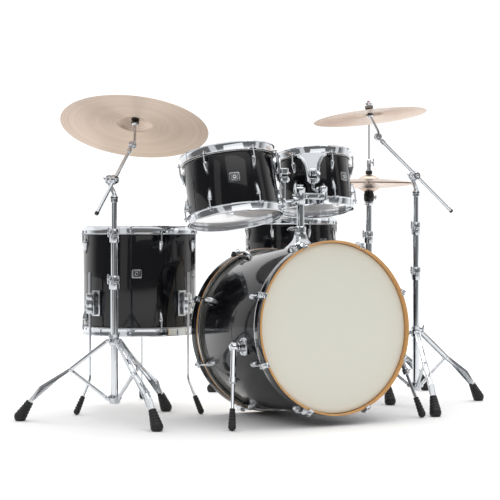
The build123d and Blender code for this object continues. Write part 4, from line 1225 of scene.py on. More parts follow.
    def holder(self) -> None:
        """The tom holder's base: a casting flared on to the shell, its neck and screw.

        Its sections are rounded boxes whose size falls with height t from 96 by 78 mm
        to 38 by 36 mm as (1 - t) ** 2.2, and whose lowest rows follow the shell.
        """
        x, y = POST[:2]
        t = np.linspace(0, 1, 12)
        sections = []
        for share in t:
            fall = (1 - share) ** 2.2
            edge = rounded_box(40 + 56 * fall, 38 + 42 * fall, 13 + 3 * fall, 6)
            nearer = np.sqrt(np.clip((self.radius + 0.5) ** 2 - edge[:, 0] ** 2, 0, None))
            axis_z = self.middle.origin[2] + (
                self.middle.origin[1] - (y + edge[:, 1])
            ) * math.tan(math.radians(self.tilt))
            floor = axis_z + nearer
            top = 628.0
            z = floor + (top - floor) * share
            sections.append(np.stack((edge[:, 0] + x, edge[:, 1] + y, z), -1))
        shape = Shape().loft(np.array(sections))
        neck = Place.upright((x, y, 626))
        shape.lathe(
            neck,
            [
                (18, 0), (19, 2), (19, 12), (17.5, 13.5), (17.5, 15), (19, 16.5), (19, 27), (17, 29),
                (13.2, 29)
            ],
            40
        )
        shape.slab(Place.upright((x - 24, y, 640)), rounded_box(22, 16, 4), 14, 2)
        piece("tom_holder_casting", shape, self.body, "chrome", CAST_CHROME, node="bass_drum_brackets")
        screws = Shape()
        wing_screw(screws, np.array((x - 33, y, 647)), np.array((-1, 0, 0)), 9, 14)
        for sx in (-1, 1):
            for sy in (-1, 1):
                screws.lathe(
                    Place.at((x + sx * 38, y + sy * 30, 576.5), (sx * 0.15, 0, 1)),
                    [(4.2, 0), (4.2, 5), (2.8, 7)], 14
                )
        piece("tom_holder_screws", screws, self.body, "chrome", CHROME)


@dataclass
class TomPost:
    """The post that rises from the holder, with its platform and clamps."""

    kit: Kit
    body: str = "tom_post"

    def dress(self) -> None:
        """Post tube, head casting, platform, both rod clamps and their screws."""
        x, y = POST[:2]
        large = self.kit.joints["large_tom_tilt"].at
        small = self.kit.joints["small_tom_tilt"].at
        tube = Shape()
        low = self.kit.low("tom_post")[2]
        tube.lathe(Place.upright((x, y, low)), [(11, 0), (12.7, 1), (12.7, 740 - low)], 40)
        piece("tom_post_tube", tube, self.body, "chrome", CHROME, node="tom_post")
        head = Shape()
        head.lathe(
            Place.upright((x, y, 726)),
            [(13.2, 0), (15.5, 1.5), (15.5, 8), (17, 11), (17, 42), (16, 44), (17, 46), (17, 60), (14, 63)],
            40,
        )
        floor = small[2] - 34
        head.slab(Place.upright((x + 46, y, floor)), rounded_box(100, 27, 9), 21, 3.5)
        head.slab(Place.upright((x + 46, y, floor + 18)), rounded_box(74, 15, 5), 5, 1.8)
        head.lathe(
            Place.upright((small[0], small[1], floor - 2)),
            [(12, 0), (14, 2), (14, 26), (12.5, 28), (12.5, 30), (14, 32), (14, 46), (11.5, 49)], 36,
        )
        root = np.array((x, y, large[2]))
        head.bar(root, root + (large - root) * 0.9, 11)
        head.ball(large, 15.2, 26)
        piece("tom_platform_casting", head, self.body, "chrome", CAST_CHROME)
        screws = Shape()
        wing_screw(screws, np.array((x, y, 787)), UP, 6, 16)
        wing_screw(screws, np.array((small[0], small[1], small[2] + 13)), UP, 3, 13, 60)
        wing_screw(screws, large + np.array((0, 0, 13)), UP, 6, 14, 100)
        screws.lathe(
            Place.at((x + 20, y - 12, floor + 10), (0, -1, 0)), [(6, 0), (6.5, 1), (6.5, 4), (5, 5.5)], 6
        )
        screws.lathe(
            Place.at((x + 68, y - 12, floor + 10), (0, -1, 0)), [(6, 0), (6.5, 1), (6.5, 4), (5, 5.5)], 6
        )
        piece("tom_platform_screws", screws, self.body, "chrome", CHROME)


# ---------------------------------------------------------------- stands
@dataclass
class Tripod:
    """A double-braced tripod: hub, struts, channel legs, sliding collar and rubber feet."""

    name: str
    at: np.ndarray
    legs: tuple[float, float, float]
    moving: bool

    def spoke(self, angle: float, shift: float = 0.0) -> Place:
        """The upright plane through the tube at an angle: X outwards, Y up."""
        out = level(angle)
        across = np.cross(out, UP)
        return Place(self.at + across * shift, out, np.array((0.0, 0, 1)), across)

    def leg(self, angle: float) -> Shape:
        """Two bent side plates with rolled edges, their spacer, and the pins through them."""
        plates = Shape()
        for shift in (-9.5, 6.5):
            plates.slab(self.spoke(angle, shift), strip(SHIN, 14.0), 3.0, 1.0)
            outside = shift - 0.9 if shift < 0 else shift + 1.9
            plates.slab(self.spoke(angle, outside), strip(SHIN[:2], 6.0), 2.0, 0.9)
            plates.slab(self.spoke(angle, outside), strip(SHIN[1:], 6.0), 2.0, 0.9)
        plates.slab(self.spoke(angle, -6.8), strip(SHIN[2:], 11.0), 13.6, 0.6)
        web = [tuple(np.array(SHIN[0]) * (1 - t) + np.array(JOINT) * t) for t in (0.3, 0.72)]
        plates.slab(self.spoke(angle, -6.8), strip(web, 3.0), 13.6, 0.5)
        for spot in (SHIN[0], JOINT):
            pin = self.spoke(angle, -12.0).shifted(spot[0], spot[1], 0)
            plates.lathe(
                pin, [(3.4, 0), (5, 1), (5, 2.6), (3, 2.8), (3, 21.2), (5, 21.4), (5, 23), (3.4, 24)], 18
            )
        return plates

    def strut(self, angle: float) -> Shape:
        """A flat brace with eyes at both ends and a pressed rib."""
        ends = [(PIVOT_R, HUB_Z), JOINT]
        shape = Shape().slab(self.spoke(angle, -4), strip(ends, 12.0), 8.0, 1.6)
        inner = [tuple(np.array(ends[0]) * (1 - t) + np.array(ends[1]) * t) for t in (0.12, 0.88)]
        return shape.slab(self.spoke(angle, -5), strip(inner, 5.0), 10.0, 1.2)

    def hub(self) -> Shape:
        """The bottom casting with a clevis and pin for every strut."""
        foot = Place.upright(self.at)
        shape = Shape().lathe(foot, [(15, 58), (18.2, 61), (19, 64), (19, 84), (18, 87), (14.5, 89)], 40)
        for angle in self.legs:
            for shift in (-7.8, 4.3):
                shape.slab(self.spoke(angle, shift), strip([(13, HUB_Z), (PIVOT_R, HUB_Z)], 15.0), 3.5, 1.0)
            pin = self.spoke(angle, -9.5).shifted(PIVOT_R, HUB_Z, 0)
            shape.lathe(pin, [(4.6, 0), (4.6, 2), (3, 2.2), (3, 16.8), (4.6, 17), (4.6, 19)], 16)
        return shape

    def collar(self) -> Shape:
        """The sliding casting with its leg tongues, ribs and wing screw."""
        z = COLLAR_Z
        shape = Shape().lathe(
            Place.upright(self.at),
            [
                (14, z - 17), (17, z - 15), (18, z - 11), (18, z + 5), (16.6, z + 8), (16.6, z + 11),
                (18, z + 13), (18, z + 20), (14, z + 22.5)
            ],
            40,
        )
        for angle in self.legs:
            shape.slab(self.spoke(angle, -5.8), strip([(12, z), (PIVOT_R, z)], 13.0), 11.6, 1.4)
        out = level(self.legs[0] + 60)
        wing_screw(shape, self.at + out * 15 + (0, 0, z + 14), out, 11, 15, 90)
        return shape

    def dress(self) -> None:
        self.part("_collar_casting", self.collar(), "_collar", CAST_CHROME)
        for index, angle in enumerate(self.legs, 1):
            leg = f"_leg_{index}"
            self.part(leg + "_plates", self.leg(angle), leg, CHROME)
            self.part(f"_strut_{index}_brace", self.strut(angle), f"_strut_{index}", CHROME)
            frame = self.spoke(angle)
            ankle, sole = frame.point((*SHIN[3], 0)), frame.point((*SOLE, 0))
            body = self.name + leg if self.moving else "kit"
            rubber_foot(self.name + leg + "_foot", body, ankle, sole, 21.0, 13.0)
        piece(self.name + "_hub_casting", self.hub(), "kit", "chrome", CAST_CHROME)

    def part(self, label: str, shape: Shape, node: str, finish: Finish) -> None:
        own = self.name + node if self.moving else ""
        piece(self.name + label, shape, own or "kit", "chrome", finish, node=own)


def height_clamp(
    shape: Shape, screws: Shape, at: np.ndarray, top: float, big: float, small: float, turn: float
) -> None:
    """The casting on a tube's end that grips the thinner tube: body, split ears and screw."""
    foot = Place.upright(at)
    r = big + 5
    barrel = [(big + 1, top - 48), (r - 0.8, top - 46.5), (r, top - 43), (r, top - 27), (r - 1.6, top - 25)]
    barrel += [(r - 1.6, top - 22), (r, top - 20), (r, top - 4), (r - 1.4, top - 1.2), (small + 2.2, top)]
    shape.lathe(foot, barrel, 40)
    out = level(turn)
    across = np.cross(UP, out)
    for sign in (-1, 1):
        ear = Place.at(at + out * (r - 2) + across * sign * 4.2 + (0, 0, top - 23), (0, 0, 1), out)
        shape.slab(ear, rounded_box(11, 6, 2), 19, 1.6)
    wing_screw(screws, at + out * (r - 4) + (0, 0, top - 12), out, 13, 17, 90)


def lower_tubes(shape: Shape, at: np.ndarray, runs: list[tuple[float, float, float]]) -> None:
    """Upright tubes from (low, high, radius) rows."""
    for low, high, radius in runs:
        shape.lathe(
            Place.upright(at),
            [(radius - 0.8, low), (radius, low + 0.8), (radius, high - 0.8), (radius - 0.8, high)], 40
        )


def bronze_disc(
    name: str, body: str, node: str, at: np.ndarray, up: np.ndarray, radius: float, bow: float, hole: float
) -> None:
    """A cymbal: bell, bow and a thinned edge.

    From the hole to the bell's radius the height falls as share ** 1.6, from there
    to the edge as share ** 1.5, with share running from 0 to 1 on each part.

    Args:
        name: what the piece's and the material's names start with.
        body: the body it moves with.
        node: the CAD node that it stands for.
        at: the middle of its bell's top.
        up: the direction that its bell points in.
        radius: its edge's radius.
        bow: how far its edge lies below its bell's foot.
        hole: the radius of its hole.
    """
    bell_r, thick = radius * BELL_SHARE, 1.5
    bell_h = bell_r * BELL_RISE
    inner = hole + (bell_r - hole) * np.linspace(0, 1, 14)
    outer = bell_r + (radius - bell_r) * np.linspace(0, 1, 46)[1:]
    fall = np.concatenate(
        (
            bell_h * ((inner - hole) / (bell_r - hole)) ** 1.6,
            bell_h + bow * ((outer - bell_r) / (radius - bell_r)) ** 1.5
        )
    )
    r = np.concatenate((inner, outer))
    top = thick - 0.45 * (r / radius) - fall
    under = list(zip(r, -fall))
    profile = under + [(radius + 0.3, -fall[-1] + 0.5)] + list(zip(r, top))[::-1]
    shape = Shape().lathe(Place.at(at, up), profile, 160, True)
    middle, axis = tuple(map(float, at)), tuple(map(float, unit(up)))
    finish = Lathed(name + "_bronze", "#dccbbe", metallic=1.0, roughness=0.34, middle=middle, axis=axis)
    piece(name + "_disc", shape, body, "bronze", finish, node=node)


@dataclass
class BoomStand:
    """A boom stand with its tripod, tubes, boom, tilter and cymbal."""

    kit: Kit
    name: str
    at: np.ndarray
    legs: tuple[float, float, float]
    clamps: tuple[float, float]
    low: np.ndarray
    radius: float
    bolt: float = 200.0
    clamp: np.ndarray = field(init=False)
    tilter: np.ndarray = field(init=False)
    bell: Joint = field(init=False)
    side: np.ndarray = field(init=False)

    def __post_init__(self) -> None:
        """Reads the boom's three joints and works out which side the clamp stands on."""
        self.clamp = self.kit.joints[self.name + "_boom_pitch"].at
        self.tilter = self.kit.joints[self.name + "_cymbal_tilt"].at
        self.bell = self.kit.joints[self.name + "_cymbal_spin"]
        flat = (self.tilter - self.low) * (1, 1, 0)
        side = unit(np.cross(flat, UP))
        self.side = -side if side[1] > 0 else side

    def upright(self) -> None:
        """The tubes and height clamps that stay with the base, then the tripod."""
        first, second = self.clamps
        tubes, clamps, screws = Shape(), Shape(), Shape()
        lower_tubes(tubes, self.at, [(TUBE_FOOT, first - 10, LOW_R), (280, second - 10, MIDDLE_R)])
        height_clamp(clamps, screws, self.at, first, LOW_R, MIDDLE_R, self.bolt)
        height_clamp(clamps, screws, self.at, second, MIDDLE_R, HIGH_R, self.bolt)
        piece(self.name + "_lower_tubes", tubes, "kit", "chrome", CHROME, node="boom_stand_tubes")
        piece(self.name + "_height_clamps", clamps, "kit", "chrome", CAST_CHROME)
        piece(self.name + "_height_screws", screws, "kit", "chrome", CHROME)
        Tripod(self.name, self.at, self.legs, True).dress()

    def ratchet(
        self, shape: Shape, start: np.ndarray, out: np.ndarray, radius: float, thick: float, teeth: int
    ) -> None:
        """A ratchet half: a disc whose rim carries teeth as a triangle wave."""
        edge = circle(radius, teeth * 4)
        wave = 1 + 0.045 * np.tile((0, 1, 0, -1), teeth)
        shape.slab(Place.at(start, out), edge * wave[:, None], thick, 1.2)

    def top_tube(self) -> None:
        """The highest tube, the tapered casting with its black ring, and the fixed ratchet."""
        body = self.name + "_top_tube"
        z = self.clamp[2]
        tube, cast, ring = Shape(), Shape(), Shape()
        lower_tubes(tube, self.at, [(430, z - 60, HIGH_R)])
        foot = Place.upright(self.at)
        cast.lathe(foot, [(9.6, z - 76), (13, z - 74), (13, z - 57), (10.4, z - 52), (8.6, z - 49)], 36)
        ring.lathe(foot, [(12, z - 61.5), (13.5, z - 61), (13.5, z - 58.5), (12, z - 58)], 36)
        back = self.clamp - self.side * 18
        route = bent_path(
            [foot.point((0, 0, z - 60)), foot.point((0, 0, z - 46)), back - (0, 0, 22), back], 9
        )
        cast.tube(route, 8.3, 24)
        self.ratchet(cast, self.clamp - self.side * 28, self.side, 16.6, 8.0, 26)
        cast.lathe(Place.at(self.clamp - self.side * 20.5, self.side), [(14.5, 0), (14.5, 12)], 40)
        wing_screw(cast, self.clamp - self.side * 28, -self.side, 8, 17, 30)
        piece(self.name + "_top_tube_steel", tube, body, "chrome", CHROME, node=body)
        piece(self.name + "_boom_ratchet", cast, body, "chrome", CAST_CHROME)
        piece(self.name + "_sleeve_ring", ring, body, "rubber", NYLON)

    def boom(self) -> None:
        """The boom rod, its end cap, its clamp half and the socket under the tilter."""
        body = self.name + "_boom_arm"
        along = unit(self.tilter - self.low)
        rod, cast, cap = Shape(), Shape(), Shape()
        rod.bar(self.low, self.tilter - along * 24, 6.3)
        rod.bar(self.low + along * 6, self.low + along * 24, 6.9)
        cap.bar(self.low - along * 3, self.low + along * 8, 7.4, 2.0)
        self.ratchet(cast, self.clamp - self.side * 8, self.side, 16.6, 7.0, 26)
        cast.lathe(Place.at(self.clamp - self.side * 1.5, self.side), [(14, 0), (14, 9), (12, 12.5)], 40)
        grip = Place.at(self.clamp - along * 13, along, self.side)
        cast.lathe(grip, [(8, 0), (10.2, 1.5), (10.2, 24.5), (8, 26)], 28)
        nut = Place.at(self.clamp + self.side * 11, self.side)
        cast.lathe(nut, [(6.5, 0), (6.5, 3), (5, 4)], 6)
        neck = self.tilter - self.side * 5.6
        cast.bar(self.tilter - along * 36, self.tilter - along * 19, 8.6, 1.6)
        cast.bar(self.tilter - along * 22, neck - along * 6, 5.2)
        self.ratchet(cast, self.tilter - self.side * 9, self.side, 12.6, 8.4, 20)
        piece(self.name + "_boom_rod", rod, body, "chrome", CHROME, node=body)
        piece(self.name + "_boom_clamp_half", cast, body, "chrome", CAST_CHROME)
        piece(self.name + "_boom_cap", cap, body, "rubber", NYLON)

    def head(self) -> None:
        """The tilter half, stud, nylon sleeve, felts, wing nut and the cymbal."""
        body = self.name + "_tilter"
        up, apex = unit(self.bell.axis), self.bell.at
        seat = apex - up * 26
        cast, stud, sleeve, felt, nut, cap = (Shape() for _ in range(6))
        self.ratchet(cast, self.tilter, self.side, 12.6, 8.6, 20)
        cast.lathe(Place.at(self.tilter + self.side * 8.4, self.side), [(6, 0), (6, 3), (4.8, 4)], 6)
        root = self.tilter + self.side * 5
        rise = unit(up - self.side * np.dot(up, self.side)) * 19
        cast.tube(bent_path([root, root + rise, seat + up * 1], 8), 5.0, 22)
        cast.lathe(Place.at(seat, up), [(6, -3), (10.5, 0), (11, 1.2), (11, 3.4), (9, 4)], 32)
        stud.bar(seat, apex + up * 30, 4.0, 0.8)
        ring = Place.at(seat, up)
        sleeve.lathe(ring, [(13, 4.2), (14, 5), (14, 7.2), (9, 8.4), (8, 9.5), (8, 13)], 32)
        felt_low = [(10, 13), (13.4, 13.4), (14, 15), (14, 19.4), (13, 20.6), (9, 21)]
        (felt if self.name == "crash" else sleeve).lathe(ring, felt_low, 32)
        felt.lathe(
            Place.at(apex, up), [(10, 2.1), (14.4, 2.6), (15, 4.4), (15, 10.8), (14, 12.6), (8, 13)], 36
        )
        top = Place.at(apex, up)
        nut.lathe(top, [(7.4, 13.2), (8, 14), (7, 18), (5.4, 22), (5, 26)], 26)
        wings = lobed(5.0, 8.5, 2, 4.0, 48) * (1, 0.55)
        nut.slab(Place.at(apex + up * 16, up), wings, 8.0, 2.0)
        cap.lathe(top, [(4.6, 24), (5.0, 25), (5.0, 28.5), (3.6, 30.2)], 24)
        piece(self.name + "_tilter_casting", cast, body, "chrome", CAST_CHROME, node=body)
        piece(self.name + "_cymbal_stud", stud, body, "chrome", STEEL_WIRE)
        piece(self.name + "_cymbal_sleeve", sleeve, body, "rubber", NYLON)
        piece(self.name + "_cymbal_felts", felt, body, "felt", FELT if self.name == "crash" else DARK_FELT)
        piece(self.name + "_wing_nut", nut, body, "chrome", CAST_CHROME)
        piece(self.name + "_nut_cap", cap, body, "rubber", RED_NYLON)
        node = self.name + "_cymbal"
        bronze_disc(node, node, node, apex, up, self.radius, self.radius * 0.045, 6.0)

    def dress(self) -> None:
        """Builds the whole stand."""
        self.upright()
        self.top_tube()
        self.boom()
        self.head()


@dataclass
class HiHat:
    """The pedal hi-hat: base, tubes, pull rod, clutch, seat, cymbals and pedal."""

    kit: Kit
    at: np.ndarray
    radius: float = 178.0
    edge: float = 822.0

    def dress(self) -> None:
        """Builds every hi-hat piece."""
        at, up = self.at, np.array((0.0, 0, 1))
        foot = Place.at(at, up)
        tubes, clamps, screws = Shape(), Shape(), Shape()
        lower_tubes(tubes, at, [(TUBE_FOOT, 628, LOW_R)])
        height_clamp(clamps, screws, at, 638, LOW_R, MIDDLE_R, 190)
        piece("hihat_lower_tube", tubes, "kit", "chrome", CHROME, node="snare_and_hihat_bases")
        piece("hihat_height_clamp", clamps, "kit", "chrome", CAST_CHROME)
        piece("hihat_height_screw", screws, "kit", "chrome", CHROME)
        Tripod("hihat", at, (11.0, 131.0, -109.0), False).dress()
        self.seat(foot)
        self.cymbals(foot)
        self.pedal()

    def seat(self, foot: Place) -> None:
        """The upper tube and the black cup, with its tilt screw, that the low cymbal sits in."""
        tube, cup, felt, screw = Shape(), Shape(), Shape(), Shape()
        lower_tubes(tube, foot.origin, [(420, 750, MIDDLE_R)])
        tube.lathe(foot, [(12, 737), (18, 738), (19, 740), (19, 748), (17, 750)], 32)
        cup.lathe(foot, [(13, 751), (17, 752), (20, 762), (20, 782), (18.5, 784), (9, 785)], 40)
        felt.lathe(foot, [(8, 784), (17, 784.3), (17.6, 786), (17.6, 789), (12, 790.5)], 32)
        wing_screw(screw, foot.point((17, -6, 768)), np.array((1.0, 0, 0)), 9, 10, 90)
        piece("hihat_upper_steel", tube, "hihat_upper_tube", "chrome", CHROME, node="hihat_upper_tube")
        piece("hihat_seat_cup", cup, "hihat_upper_tube", "rubber", NYLON)
        piece("hihat_seat_felt", felt, "hihat_upper_tube", "felt", DARK_FELT)
        piece("hihat_tilt_screw", screw, "hihat_upper_tube", "chrome", CHROME)

    def cymbals(self, foot: Place) -> None:
        """Both cymbals, the pull rod, the clutch and its felts."""
        bow, drop = 14.0, self.radius * BELL_SHARE * BELL_RISE
        top_z, low_z = self.edge + 2 + drop + bow, self.edge - 2 - drop - bow
        for name, body, z, way in (("top", "pull_rod", top_z, 1), ("bottom", "upper_tube", low_z, -1)):
            at, node = foot.point((0, 0, z)), f"hihat_{name}_cymbal"
            bronze_disc("hihat_" + name, "hihat_" + body, node, at, foot.z * way, self.radius, bow, 5.0)
        rod, clutch, felt, screw = Shape(), Shape(), Shape(), Shape()
        rod.bar(foot.point((0, 0, 36)), foot.point((0, 0, 1060)), 3.2, 1.0)
        clutch.lathe(foot, [(8, top_z - 6), (8, top_z - 1.2)], 26)
        clutch.lathe(
            foot,
            [
                (6, top_z + 15), (11, top_z + 15.4), (11, top_z + 19), (8.2, top_z + 20), (8.2, top_z + 30),
                (9, top_z + 31), (9, top_z + 56), (7, top_z + 59), (4, top_z + 60)
            ],
            30,
        )
        clutch.ball(foot.point((0, 0, top_z + 45)), 10.2, 22)
        felt.lathe(
            foot,
            [
                (8, top_z + 2), (12.4, top_z + 2.5), (13, top_z + 4), (13, top_z + 7.8), (12, top_z + 8.4),
                (13, top_z + 9), (13, top_z + 13), (12, top_z + 15)
            ],
            30
        )
        wing_screw(screw, foot.point((7, 0, 905)), np.array((1.0, 0, 0)), 11, 16, 90)
        piece("hihat_rod_steel", rod, "hihat_pull_rod", "chrome", CHROME, node="hihat_pull_rod")
        piece("hihat_clutch", clutch, "hihat_pull_rod", "chrome", CAST_CHROME)
        piece("hihat_clutch_felts", felt, "hihat_pull_rod", "felt", DARK_FELT)
        piece("hihat_clutch_screw", screw, "hihat_pull_rod", "chrome", CHROME)

    def pedal(self) -> None:
        """The footboard with raised treads, its heel pin, the frame and the heel plate."""
        x, y = self.at[:2]
        heel, toe = np.array((x, y + 250, 14.0)), np.array((x, y - 8, 29.0))
        board, treads, frame = Shape(), Shape(), Shape()
        along = unit(heel - toe)
        flat = Place.at(toe, np.cross(along, (1, 0, 0)) * -1, (1, 0, 0))
        long = float(np.linalg.norm(heel - toe))
        outline = np.array(
            [
                (-30, 0), (30, 0), (38, 60), (42, long - 30), (42, long), (-42, long), (-42, long - 30),
                (-38, 60)
            ]
        )
        board.slab(flat.raised(-2.8), outline, 5.6, 1.4)
        for k in range(8):
            row = np.array([(-24, 0), (24, 0), (24, 5), (-24, 5)]) + (0.0, 40 + 24 * k)
            treads.slab(flat.raised(2.4), row, 1.2, 0.5)
        board.bar(heel - (41, 0, 0), heel + (41, 0, 0), 6.0)
        piece("hihat_footboard", board, "hihat_pedal", "chrome", CAST_CHROME, node="hihat_pedal")
        piece("hihat_footboard_treads", treads, "hihat_pedal", "rubber", RUBBER)
        frame.slab(Place.upright((x, heel[1] + 12, 0)), rounded_box(106, 29, 7), 5.6, 1.4)
        for side in (-1, 1):
            ear = Place(
                np.array((x + side * 49 - 3.2, heel[1] + 2, 0)), np.array((0.0, 1, 0)),
                np.array((0.0, 0, 1)), np.array((1.0, 0, 0))
            )
            frame.slab(ear.shifted(0, 11.5, 0), rounded_box(17, 22, 7), 6.4, 1.2)
            front = y - 14.7
            route = [
                np.array((x + side * 30, heel[1], 3.2)), np.array((x + side * 30, front, 3.2)),
                np.array((x + side * 6, front, 3.2)), np.array((x + side * 6, front, 62))
            ]
            frame.tube(bent_path(route, 7), 2.9, 14)
        frame.bar(heel - (50, 0, 0), heel + (50, 0, 0), 3.0)
        piece("hihat_pedal_frame", frame, "kit", "chrome", CHROME)


@dataclass
class SnareStand:
    """The snare's basket and its fixed tripod."""

    kit: Kit
    drum: Drum

    def dress(self) -> None:
        middle = self.drum.place.origin
        at = middle * (1, 1, 0)
        Tripod("snare_stand", at, (18.0, 138.0, -102.0), False).dress()
        tubes, clamps, screws = Shape(), Shape(), Shape()
        lower_tubes(tubes, at, [(TUBE_FOOT, 390, LOW_R)])
        height_clamp(clamps, screws, at, 400, LOW_R, MIDDLE_R, 90)
        piece("snare_stand_lower_tube", tubes, "kit", "chrome", CHROME)
        piece("snare_stand_clamp", clamps, "kit", "chrome", CAST_CHROME)
        piece("snare_stand_screw", screws, "kit", "chrome", CHROME)
        steel, grips = Shape(), Shape()
        lower_tubes(steel, at, [(300, 460, HIGH_R)])
        foot = Place.upright(at)
        steel.lathe(foot, [(16, 442), (20, 445), (20, 464), (17, 467)], 36)
        rim = middle[2] - self.drum.depth / 2 - 16
        for angle in (-30.0, 90.0, 210.0):
            turned = foot.turned(angle)
            steel.tube(
                bent_path(
                    [turned.point(np.array(p)) for p in ((0, 0, 456), (198, 0, 462), (200.5, 0, rim + 22))],
                    22
                ),
                5.8, 18
            )
            grips.bar(turned.point((202, 0, rim - 7)), turned.point((172, 0, rim - 7)), 6.4, 2)
            grips.bar(turned.point((200, 0, rim + 6)), turned.point((201, 0, rim + 23)), 7.4, 2)
        piece("snare_basket_steel", steel, "snare_drum", "chrome", CHROME, node="snare_basket")
        piece("snare_basket_grips", grips, "snare_drum", "rubber", RUBBER)
        self.strainer(middle)

    def strainer(self, middle: np.ndarray) -> None:
        """The strainer casting, its knob and throw lever, and the wires under the drum."""
        out = level(40)
        across = np.cross(UP, out)
        face = middle * (1, 1, 0) + out * self.drum.radius
        cast, lever, wires, knob = Shape(), Shape(), Shape(), Shape()
        cast.slab(
            Place.at(face + out * 10.8 + (0, 0, 560.3), (0, 0, 1), out), rounded_box(21.4, 25.4, 4), 59.4, 3
        )
        knob.lathe(
            Place.upright(face + out * 11 + (0, 0, 619)),
            [(6, 0), (6, 4), (7.6, 5), (7.6, 13), (6.5, 14.5)], 24
        )
        pivot = face + out * 29 + (0, 0, 568)
        lever.bar(pivot - across * 9, pivot + across * 9, 5.5)
        blade = Place(pivot - across * 8.6, out, np.array((0.0, 0, 1)), across)
        lever.slab(blade, strip([(0, 0), (0, 30), (2.2, 54)], 5.6), 17.2, 1.6)
        low = middle[2] - self.drum.depth / 2 - 2.4
        for k in range(20):
            x = middle[0] - 19 + 2 * k
            wires.bar((x, middle[1] - 138, low), (x, middle[1] + 138, low), 0.8, 0.2, 6)
        for sign in (-1, 1):
            wires.slab(
                Place.upright((middle[0], middle[1] + sign * 142, low - 1)), rounded_box(41, 14, 2), 2, 0.5
            )
        piece("snare_strainer_casting", cast, "snare_drum", "chrome", CAST_CHROME)
        piece("snare_strainer_knob", knob, "snare_drum", "chrome", CHROME)
        piece("snare_wires", wires, "snare_drum", "chrome", STEEL_WIRE)
        piece(
            "snare_throw_lever", lever, "snare_strainer_lever", "chrome", CAST_CHROME,
            node="snare_strainer_lever"
        )


# ---------------------------------------------------------------- stage
def smooth_step(
    tree: bpy.types.NodeTree, source: bpy.types.NodeSocket, start: float, full: float, low: float = 0.0,
    high: float = 1.0
) -> bpy.types.NodeSocket:
    """A smooth step between two values of a socket, from low to high."""
    kind = {"interpolation_type": "SMOOTHSTEP"}
    ends = {"From_Min": start, "From_Max": full, "To_Min": low, "To_Max": high}
    return add_node(tree, "ShaderNodeMapRange", kind, Value=source, **ends).outputs["Result"]


def area_light(
    name: str, at: tuple[float, float, float], aim: tuple[float, float, float], size: tuple[float, float],
    watts: float
) -> None:
    """A soft rectangular light at a point, aimed at another."""
    data = bpy.data.lights.new(name, "AREA")
    data.shape, data.size, data.size_y, data.energy = "RECTANGLE", size[0], size[1], watts
    lamp = bpy.data.objects.new(name, data)
    bpy.context.scene.collection.objects.link(lamp)
    lamp.location = at
    lamp.rotation_euler = (Vector(aim) - Vector(at)).to_track_quat("-Z", "Y").to_euler()


def surround() -> None:
    """Brightness is the greater of two smooth steps, one of the direction's part away
    from the front and one of its height.
    """
    world = bpy.data.worlds.new("studio_surround")
    world.use_nodes = True
    tree = world.node_tree
    way = add_node(tree, "ShaderNodeTexCoord").outputs["Generated"]
    back = add_node(tree, "ShaderNodeVectorMath", {"operation": "DOT_PRODUCT"}, i0=way, i1=AWAY)
    high = add_node(tree, "ShaderNodeVectorMath", {"operation": "DOT_PRODUCT"}, i0=way, i1=(0.0, 0.0, 1.0))
    steps = [
        smooth_step(tree, source.outputs["Value"], start, full, 0.17, 1.1)
        for source, start, full in ((back, 0.0, 0.55), (high, 0.36, 0.75))
    ]
    light = add_node(tree, "ShaderNodeMath", {"operation": "MAXIMUM"}, i0=steps[0], i1=steps[1])
    sky = tree.nodes["Background"]
    sky.inputs["Color"].default_value = linear("#ffffff")
    tree.links.new(light.outputs["Value"], sky.inputs["Strength"])
    bpy.context.scene.world = world


def floor_with_painted_light() -> bpy.types.Material:
    # Painted shade and painted light on the floor: its colour turns grey towards and behind the camera, and
    # beyond the kit it glows white through an emission that stands in for a lit backdrop.
    made = Finish("floor_painted_glow_and_shade", "#fafafa", roughness=0.85).material()
    tree = made.node_tree
    place = add_node(tree, "ShaderNodeTexCoord").outputs["Object"]
    away = add_node(tree, "ShaderNodeVectorMath", {"operation": "DOT_PRODUCT"}, i0=place, i1=AWAY)
    step = smooth_step(tree, away.outputs["Value"], 0.2, 1.6)
    shade = smooth_step(tree, away.outputs["Value"], -5.0, -2.4)
    shader = tree.nodes["Principled BSDF"]
    # Painted shade: the floor's colour falls to grey towards and behind the camera.
    tree.links.new(ramp(tree, shade, "#6e6e6e", "#fafafa", 0.0, 1.0), shader.inputs["Base Color"])
    # Painted light: the floor glows more the further it lies beyond the kit.
    shader.inputs["Emission Color"].default_value = linear("#ffffff")
    dim = add_node(tree, "ShaderNodeMath", {"operation": "MULTIPLY"}, i0=step, i1=0.35).outputs["Value"]
    tree.links.new(dim, shader.inputs["Emission Strength"])
    return made


def stage() -> None:
    """The pale floor with its painted glow and painted shade, the white surroundings, the soft lights and
    the camera.
    """
    surround()
    floor_mesh = bpy.data.meshes.new("studio_floor")
    reach = 30.0
    floor_mesh.from_pydata(
        [(-reach, -reach, 0), (reach, -reach, 0), (reach, reach, 0), (-reach, reach, 0)], [], [(0, 1, 2, 3)]
    )
    floor = bpy.data.objects.new("studio_floor", floor_mesh)
    floor.location = (0, 0, -0.0006)
    bpy.context.scene.collection.objects.link(floor)
    floor_mesh.materials.append(floor_with_painted_light())
    floor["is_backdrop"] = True
    area_light("left_strip", (-3.6, -1.9, 1.5), (-0.2, 0, 0.6), (1.0, 3.0), 6)
    area_light("right_strip", (3.0, -2.6, 1.6), (0.2, 0, 0.6), (0.8, 3.0), 5)
    area_light("front_softbox", (-1.2, -4.6, 3.4), (0, 0, 0.5), (4.4, 2.2), 30)
    area_light("top_softbox", (0.2, 0.4, 3.6), (0, 0, 0.4), (3.2, 2.4), 62)
    lens = bpy.data.cameras.new("front_camera")
    lens.lens, lens.sensor_width = LENS, 36.0
    camera = bpy.data.objects.new("front_camera", lens)
    camera.location = Vector(CAMERA_AT) + Vector(BASS_AXIS * MM)
    camera.rotation_euler = Euler([math.radians(a) for a in CAMERA_TURN])
    bpy.context.scene.collection.objects.link(camera)
    bpy.context.scene.camera = camera
    bpy.context.scene.view_settings.view_transform = "Standard"


